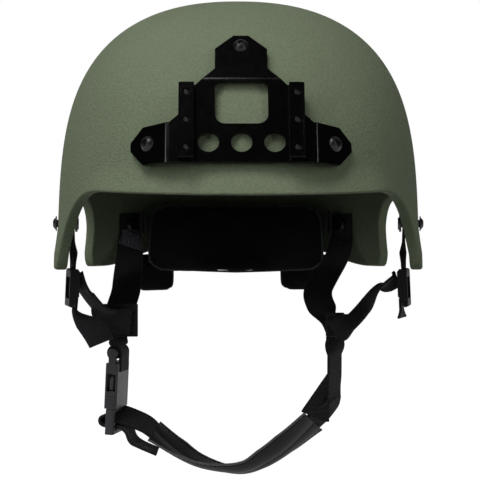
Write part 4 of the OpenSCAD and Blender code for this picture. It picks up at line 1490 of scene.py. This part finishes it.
    def ribbed(self, strip: Strip) -> Piece:
        """Builds the ribbed end of the right rear strap, folded back and sewn on its inner face.

        Args:
            strip: the strip that it follows.

        Returns:
            The piece.
        """
        run = lengths(strip.path)
        ribs, steps, start, end = 9, 4, 10, 31
        rows = [i for i in range(len(run)) if start < run[i] < end]
        point, _, face = strip.frame(rows[0])
        sign = -1 if face.x * point.x + face.y * point.y > 0 else 1

        def place(i: int, k: int) -> Vector:
            """Returns a point of the folded end, with its ribs along the strap.

            Args:
                i: place across the end.
                k: place along it.

            Returns:
                The point.
            """
            share = 0.98 * (2 * i / (ribs * steps) - 1)
            rib = 0.3 * (1 - cos(2 * pi * ribs * i / (ribs * steps)))
            return strip.point(rows[k], share, sign * (self.web_t / 2 + 0.7 + rib))

        piece = grid("rear_webbing_fold", ribs * steps, len(rows) - 1, place,
            (self.web_w, end - start))
        finish_with(piece, "SOLIDIFY", thickness=0.5 * MM, offset=0)
        clean(piece)
        smooth(piece, 50)
        return piece

    def patch(self, side: int, name: str) -> Piece:
        """Builds a sewn junction: two layers of webbing pressed into one block.

        Args:
            side: 1 for the wearer's left, -1 for the right.
            name: name of the piece.

        Returns:
            The piece.
        """
        j = self.junction(side)
        wide, high = self.patches[side]
        layers = []
        for y in (-self.layer_y, self.layer_y):
            path = [vec(j.x, j.y + y, j.z + high * u) for u in (0.5, 0.25, 0, -0.25, -0.5)]
            layers.append(self.strip(side, path, [LEFT] * 5, wide).build(name))
        return join(name, *layers)

    def patch_rows(self, side: int) -> list[list[Vector]]:
        """Lays the sewn box and cross of a junction, on its front.

        Args:
            side: 1 for the wearer's left, -1 for the right.

        Returns:
            A short line for each stitch.
        """
        wide, high = self.patches[side]
        path = [self.junction(side) + UP * z for z in (high / 2 - 1, 0, 1 - high / 2)]
        face = Strip(mirrored(path, side), mirrored([LEFT] * 3, side), wide, 0)
        sign = 1 if face.frame(0)[2].y < 0 else -1
        return face.stitches(face.box(0.6, high - 2.6, 0.84), sign * (self.web_t + 0.12), 2.2)

    def elastic(self, side: int) -> Strip:
        """Draws the elastic from the rear bolt to the end of the nape pad.

        Args:
            side: 1 for the wearer's left, -1 for the right.

        Returns:
            The strap.
        """
        start = self.at_rear(-self.strap_gap - self.web_t - self.gap - self.web_t, 13, self.nape_z)
        end = self.dome.band_point(180, self.nape_z, -self.dome.nape_arc / 2 - 3.2, 0,
            self.dome.wall + self.nape_gap + self.nape_thick * 0.4)
        path = [start.lerp(end, k / 10) for k in range(11)]
        return self.strip(side, path, [UP] * len(path), self.web_w * 0.7)

    def install(self) -> None:
        """Builds the straps, patches, sliders and their stitches."""
        for side, word, slider in ((1, "left", Body.SLIDER_LEFT), (-1, "right", Body.SLIDER_RIGHT)):
            rear, tail = self.rear(side), self.tail(side)
            straps = {"front": self.front(side), "lower": self.lower(side), "rear": rear}
            for kind, strap in straps.items():
                install(strap.build(f"{kind}_webbing_{word}"), WEBBING, f"{kind}_strap_{word}")
            install(self.patch(side, f"junction_layers_{word}"), WEBBING, f"junction_{word}")
            install(tail.build(f"tail_webbing_{word}"), WEBBING_TWILL, f"strap_tail_{word}",
                body=slider)
            rows = self.patch_rows(side)
            if side > 0:
                for face in (1, -1):
                    rows += rear.stitches(rear.box(17, 29), face * (self.web_t / 2 + 0.05))
            else:
                install(self.ribbed(rear), RIBBED_END)
            install(tubes(f"strap_stitches_{word}", rows, self.thread, sides=1), THREAD)
            run = lengths(tail.path)[-1]
            ends = [row for face in (1, -1) for row in tail.stitches(
                [(run - s, run - s, -0.85, 0.85) for s in (3, 5.2)], face * 0.95)]
            install(tubes(f"tail_stitches_{word}", ends, self.thread, sides=1), THREAD, body=slider)
            dress(self.frame, f"slider_{word}", f"slider_frame_{word}", SLIDER_PLASTIC,
                Edge(0.45), slider)
            install(self.elastic(side).build(f"elastic_{word}"), ELASTIC, f"nape_elastic_{word}")


# ---------------------------------------------------------------- buckle and chin strap


@dataclass
class ChinStrap:
    """The chin strap: webbing, side-release buckle and padded chin piece."""

    frame: dict
    straps: Straps
    lean: float = 2.5
    turn: float = 12
    bar_z: float = 36.8
    bar_d: float = 6.4
    hinge_turn: float = 30
    drop: float = 88.5
    chin_w: float = 30
    chin_t: float = 3.4
    cup: float = 4
    welt_share: float = 0.86
    welt: float = 0.75
    seam: float = 0.62
    crown: float = 1.15
    piping: float = 0.8
    thread: float = 0.25
    roll_radius: float = 1.12
    left_roll: float = 12.2
    right_roll: float = 12
    overlap: float = 0.85
    loop_leg: float = 13.6
    turns: Sequence[float] = (-40, -36, -30, -17, 0, 13, 20)
    fold_top: Point = (60.3, -17.3, -69.2)
    fold_tip: Point = (41.9, -19.2, -95.2)
    fold_low: Point = (61, -9.5, -104)

    def __post_init__(self) -> None:
        """Sets the named points of the strap, as the source has them."""
        half, y, z = self.straps.dome.width / 2, self.straps.swing_y, self.straps.swing_z
        self.mouth = vec(38.7 - half, y, z - 45.8)
        self.across_buckle = self.at_buckle(0, 0, 1) - self.mouth
        hinge_x = half - 56.6
        self.across_hinge = vec(sin(radians(self.hinge_turn)), cos(radians(self.hinge_turn)), 0)
        prong = self.at_buckle(0, 11)
        tan = sin(radians(self.lean)) / cos(radians(self.lean))
        self.release = vec(hinge_x, y, prong.z - (hinge_x - prong.x) * tan)
        self.left_top = vec(half - self.straps.inward[1], y, z)
        self.right_top = vec(40.4 - half, y, z)
        self.line = [vec(f * half, y, z - self.drop * g) for f, g in ((0.42, 0.635), (0.285, 0.805),
            (0.147, 0.934), (0.01, 1), (-0.193, 0.955), (-0.339, 0.85), (-0.468, 0.704))]

    def at_buckle(self, x: float, z: float, y: float = 0) -> Vector:
        """Returns a point in the buckle's frame: z along it, y across it.

        Args:
            x: distance from the middle of its thickness.
            z: distance up from the socket's mouth.
            y: distance across it.

        Returns:
            The point.
        """
        c, s = cos(radians(-self.turn)), sin(radians(-self.turn))
        x, y = x * c - y * s, x * s + y * c
        c, s = cos(radians(self.lean)), sin(radians(self.lean))
        return self.mouth + vec(x * c + z * s, y, z * c - x * s)

    def side_at(self, i: int) -> Vector:
        """Returns the direction across the chin piece at a point of its line.

        Args:
            i: place along the line.

        Returns:
            The direction.
        """
        ahead = (self.line[min(i + 1, len(self.line) - 1)] - self.line[max(i - 1, 0)]).normalized()
        turn = radians(self.turns[i])
        return vec(0, cos(turn), 0) - vec(-ahead.z, 0, ahead.x) * sin(turn)

    def beyond(self, i: int, k: int, d: float) -> Vector:
        """Returns a point beyond end i of the chin line, away from its point k."""
        return self.line[i] + (self.line[i] - self.line[k]).normalized() * d

    def pad_strip(self, steps: int = 14) -> Strip:
        """Draws the chin piece's middle line, its twist and its cupped section.

        Args:
            steps: steps from each point of the line to the next.

        Returns:
            The strip.
        """
        path = through(self.line, steps)
        sides = turning([self.side_at(i) for i in range(len(self.line))], steps)
        n = len(path)
        cup = [self.cup * min(1, 5 * k / n, 5 * (1 - (k + 1) / n)) for k in range(n)]
        return Strip(path, sides, self.chin_w, self.chin_t, cup=cup)

    def pad(self, strip: Strip) -> Piece:
        """Builds the padded chin piece: two crowned channels between a sewn middle and welts.

        Args:
            strip: the strip that it follows.

        Returns:
            The piece.
        """
        n, count = len(strip.path), 28

        def depth(share: float) -> float:
            """Returns half the thickness at a share of the half width.

            Args:
                share: share of the half width, from -1 to 1.

            Returns:
                The depth.
            """
            a = abs(share)
            if a > self.welt_share:
                return self.welt
            return self.seam + self.crown * sin(pi * (a / self.welt_share)) ** 0.6

        def place(i: int, k: int) -> Vector:
            """Returns a point: i round the section, k along the strip, with the ends gathered.

            Args:
                i: place round the section.
                k: place along the strip.

            Returns:
                The point.
            """
            i %= 2 * count
            share = 1 - 2 * i / count if i <= count else 2 * (i - count) / count - 1
            flat = i in (0, count) or k in (0, n + 1)
            face = 0 if flat else 1 if i < count else -1
            return strip.point(min(max(k - 1, 0), n - 1), share, depth(share) * face)

        piece = grid("chin_piece", 2 * count, n + 1, place)
        clean(piece, 0.01)
        finish_with(piece, "SUBSURF", levels=1, render_levels=1)
        smooth(piece, 60)
        return piece

    def roll(self, name: str, middle: Vector, width: float) -> Piece:
        """Builds the rolled end of a webbing on the swing axis, under its junction."""
        reach = LEFT * (width / 2)
        return tubes(name, [[middle - reach, middle, middle + reach]], self.roll_radius, sides=5)

    def fold(self) -> Piece:
        """Builds the folded corner of webbing above the left end of the chin piece.

        Returns:
            The piece.
        """
        top, tip, low = Vector(self.fold_top), Vector(self.fold_tip), Vector(self.fold_low)
        share, columns, rows = (tip.z - top.z) / (low.z - top.z), 10, 20

        def place(i: int, k: int) -> Vector:
            """Returns a point of the fold: i from its fold line to its tip, k down the line.

            Args:
                i: place toward the tip.
                k: place down the line.

            Returns:
                The point.
            """
            down = min(max(k / rows, 0.03), 0.97)
            if down < share:
                outer = top.lerp(tip, down / share)
            else:
                outer = tip.lerp(low, (down - share) / (1 - share))
            return top.lerp(low, down).lerp(outer, i / columns)

        piece = grid("pad_webbing_fold", columns, rows, place, (15, 35))
        finish_with(piece, "SOLIDIFY", thickness=1.6 * MM, offset=0)
        clean(piece)
        smooth(piece, 50)
        return piece

    def install_helmet_side(self) -> None:
        """Builds the left side, the loop on the buckle's bar with its gather, and the buckle."""
        t, gap, w = self.straps.web_t, self.straps.gap, self.straps.web_w
        narrow, widening, steps = 0.54, 0.046, 10
        left = [self.left_top, self.left_top - vec(0.3, 0, 11),
            vec(self.release.x + 0.6, self.release.y, mix(self.left_top.z, self.release.z, 0.6)),
            self.release + UP * 8, self.release + UP * (t / 2 + gap)]
        upper = Strip([self.left_top + UP * self.overlap] + through(left, steps),
            [LEFT] + turning([LEFT] + [self.across_hinge] * 4, steps), w, t,
            [narrow] + [min(1, narrow + k * widening) for k in range(4 * steps + 1)])
        left_side = join("chin_webbing_left", upper.build("chin_webbing_left"),
            self.roll("chin_roll_left", self.left_top, self.left_roll))
        install(left_side, WEBBING, "chin_strap_left", body=Body.CHIN_STRAP)

        side_x = self.bar_d / 2 + gap + t / 2
        top = self.at_buckle(0, self.bar_z + side_x)
        gather = Strip([self.right_top.lerp(top, k / 6) for k in range(7)],
            turning([LEFT, self.across_buckle], 6), w - 1, 2 * t - 0.3,
            [0.57 + 0.43 * k / 6 for k in range(7)])
        wrap = [self.at_buckle(side_x, self.bar_z + 1 - self.loop_leg * k / 8)
            for k in range(8, 0, -1)]
        wrap += [self.at_buckle(side_x * cos(radians(a)), self.bar_z + side_x * sin(radians(a)))
            for a in range(10, 261, 10)]
        loop = Strip(wrap, [self.across_buckle] * len(wrap), w - 1, t)
        bar_side = join("buckle_webbing", loop.build("buckle_webbing"),
            gather.build("buckle_gather"),
            self.roll("chin_roll_right", self.right_top, self.right_roll))
        install(bar_side, WEBBING, "buckle_loop", body=Body.CHIN_STRAP)

        for node, name, body in (("buckle_socket", "buckle_socket_shell", Body.CHIN_STRAP),
                ("buckle_plug", "buckle_plug_body", Body.CHIN_RELEASE),
                ("buckle_prong_front", "prong_blade_front", Body.PRONG_FRONT),
                ("buckle_prong_rear", "prong_blade_rear", Body.PRONG_REAR)):
            dress(self.frame, node, name, BUCKLE_PLASTIC, Edge(0.5), body)

    def install_pad_webbing(self) -> None:
        """Builds the webbing at both ends of the chin piece; the right one goes round the plug."""
        w, t, body = self.straps.web_w, self.straps.web_t, Body.CHIN_RELEASE
        sunk, clear = -2.5, 8
        hinge, last = self.across_hinge, self.side_at(0)
        left = [self.release + UP * self.overlap, self.release, self.release - vec(1.6, 0, 3.5),
            self.beyond(0, 1, clear), self.beyond(0, 1, sunk)]
        sides = turning([hinge, hinge, hinge.lerp(last, 0.5), last, last], 8)
        web_left = Strip(through(left, 8), sides, w, t)
        install(web_left.build("pad_webbing_left"), WEBBING, "chin_web_left", body=body)
        install(self.fold(), WEBBING_TWILL, body=body)

        high, low, end = -5.0, -12.4, self.line[6]
        right = [self.beyond(6, 5, sunk), self.beyond(6, 5, clear)]
        right += [self.at_buckle(x, z) for x, z in ((4, high), (-3.4, high), (-7, high - 1.2),
            (-8.2, (high + low) / 2), (-7, low + 1.2), (-3.4, low), (3, low), (9, low - 2))]
        right += [end + vec(-12, 0, -7), end + vec(2.5, 0, -14)]
        first, across = -self.side_at(6), -self.across_buckle
        tilted = across - 0.5 * vec(0.5, 0, 0.87)
        web_right = Strip(through(right, 9),
            turning([first, first.lerp(tilted, 0.5), tilted] + [across] * 9, 9), w, t)
        install(web_right.build("pad_webbing_right"), WEBBING, "chin_web_right", body=body)

    def install_pad(self) -> None:
        """Builds the chin piece with its piping and its rows of stitches."""
        strip = self.pad_strip()
        pad = self.pad(strip)
        install(pad, CHIN_LEATHER, "chin_pad", body=Body.CHIN_RELEASE)
        edges = [[strip.point(i, share, 0) for i in range(len(strip.path))] for share in (-1, 1)]
        install(tubes("chin_piping", edges, self.piping), EDGE_PIPING, body=Body.CHIN_RELEASE)
        end = lengths(strip.path)[-1] - 1
        rows = []
        for face in (1, -1):
            rows += strip.stitches([(1, end, 0, 0)], face * 0.72, 3)
            rows += strip.stitches([(1, end, share, share) for share in (-0.91, 0.91)],
                face * 0.85, 3)
        install(tubes("chin_stitches", rows, self.thread, sides=1), THREAD, body=Body.CHIN_RELEASE,
            slot=CHIN_LEATHER.slot)

    def install(self) -> None:
        """Builds the webbing, the buckle and the chin piece."""
        self.install_helmet_side()
        self.install_pad_webbing()
        self.install_pad()


# ---------------------------------------------------------------- studio


@dataclass(frozen=True)
class Lamp:
    """A soft lamp: where it hangs in metres, its width, and its share of the light."""

    name: str
    place: tuple[float, float, float]
    size: float
    share: float


@dataclass
class Studio:
    """A pale floor and backdrop, soft lamps, and the camera of the photograph."""

    distance: float = 900
    focal: float = 99.2625
    yaw: float = 1.0
    middle: tuple[float, float] = (1.4, 19.2)
    floor_z: float = -240
    room: float = 0.075
    lamps: tuple[Lamp, ...] = (
        Lamp("key", (-0.5, -1.0, 1.6), 0.8, 0.66),
        Lamp("left_strip", (-1.05, -1.2, 0.5), 0.1, 0.22),
        Lamp("right_strip", (1.05, -1.2, 0.5), 0.1, 0.17))

    def camera(self) -> None:
        """Sets up the camera, level and one degree off the middle."""
        deselect()
        a = radians(self.yaw)
        x, z = self.middle
        place = vec(x - self.distance * sin(a), -self.distance * cos(a), z) * MM
        bpy.ops.object.camera_add(location=place, rotation=(pi / 2, 0, -a))
        camera = bpy.context.object
        camera.name = "photo_camera"
        camera.data.sensor_width = 36
        camera.data.lens = self.focal
        camera.data.clip_start, camera.data.clip_end = 0.02, 30
        bpy.context.scene.camera = camera

    def stage(self) -> None:
        """Builds the floor: white to the camera, plain pale to the lamps."""
        deselect()
        bpy.ops.mesh.primitive_plane_add(size=8, location=(0, 0, self.floor_z * MM))
        floor = bpy.context.object
        floor.name = "studio_floor"
        material = bpy.data.materials.new("studio_white")
        add = fresh_nodes(material)
        rays = add("LightPath").outputs
        first = add("Math", {0: rays["Is Camera Ray"], 1: rays["Is Glossy Ray"]},
            operation="MAXIMUM")
        seen = add("Math", {0: first, 1: rays["Is Transmission Ray"]}, operation="MAXIMUM")
        white = add("BsdfDiffuse", {"Color": (0.22, 0.22, 0.22, 1)})
        far = add("VectorMath", {0: add("TexCoord").outputs["Object"]}, operation="LENGTH")
        level = add("MapRange", {"Value": far.outputs["Value"], "From Min": 0.4, "From Max": 1.3,
            "To Min": 0.93, "To Max": 1.0})
        glow = add("Emission", {"Color": (1, 1, 1, 1), "Strength": level})
        added = add("AddShader", {0: white, 1: glow})
        add("OutputMaterial", {"Surface": add("MixShader", {0: seen, 1: white, 2: added})})
        floor.data.materials.append(material)

    def hang_lamps(self) -> None:
        """Hangs a soft key lamp at the front left and a narrow one at each side."""
        for lamp in self.lamps:
            bpy.ops.object.light_add(type="AREA", location=lamp.place)
            light = bpy.context.object
            light.name = lamp.name + "_lamp"
            aim = vec(0, 0, 0.05) - Vector(lamp.place)
            light.rotation_euler = aim.to_track_quat("-Z", "Y").to_euler()
            light.data.shape = "RECTANGLE"
            light.data.size, light.data.size_y = lamp.size, 1.0
            light.data.energy = lamp.share * pi * pi * aim.length_squared

    def light_room(self) -> None:
        """Lights the room evenly, white to the camera and brighter behind in reflections."""
        world = bpy.data.worlds.new("studio_room")
        bpy.context.scene.world = world
        add = fresh_nodes(world)
        rays = add("LightPath").outputs
        seen = add("Math", {0: rays["Is Camera Ray"], 1: rays["Is Transmission Ray"]},
            operation="MAXIMUM")
        direction = add("SeparateXYZ", {0: add("TexCoord").outputs["Generated"]})
        backdrop = add("MapRange", {"Value": direction.outputs[1], "From Min": 0.1, "From Max": 0.9,
            "To Min": 0.02, "To Max": 0.5})
        room, glossy, white = (add("Background", {"Color": (1, 1, 1, 1), "Strength": strength})
            for strength in (self.room, backdrop, 1.0))
        mirror = add("MixShader", {0: rays["Is Glossy Ray"], 1: room, 2: glossy})
        add("OutputWorld", {"Surface": add("MixShader", {0: seen, 1: mirror, 2: white})})

    def build(self) -> None:
        """Sets up the camera, the stage and the lights."""
        self.camera()
        self.stage()
        self.hang_lamps()
        self.light_room()
        bpy.context.scene.view_settings.view_transform = "Standard"


def main() -> None:
    """Loads the frame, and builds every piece."""
    logging.basicConfig(level=logging.INFO, format="%(message)s")
    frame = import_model()
    deselect()
    Studio().build()
    dome = Dome()
    liner, straps = Liner(frame, dome), Straps(frame, dome)
    for part in (Shell(dome), Bracket(frame), liner, NapeGear(frame, dome, liner), straps,
            ChinStrap(frame, straps)):
        part.install()
    deselect()


if __name__ == "__main__":
    main()
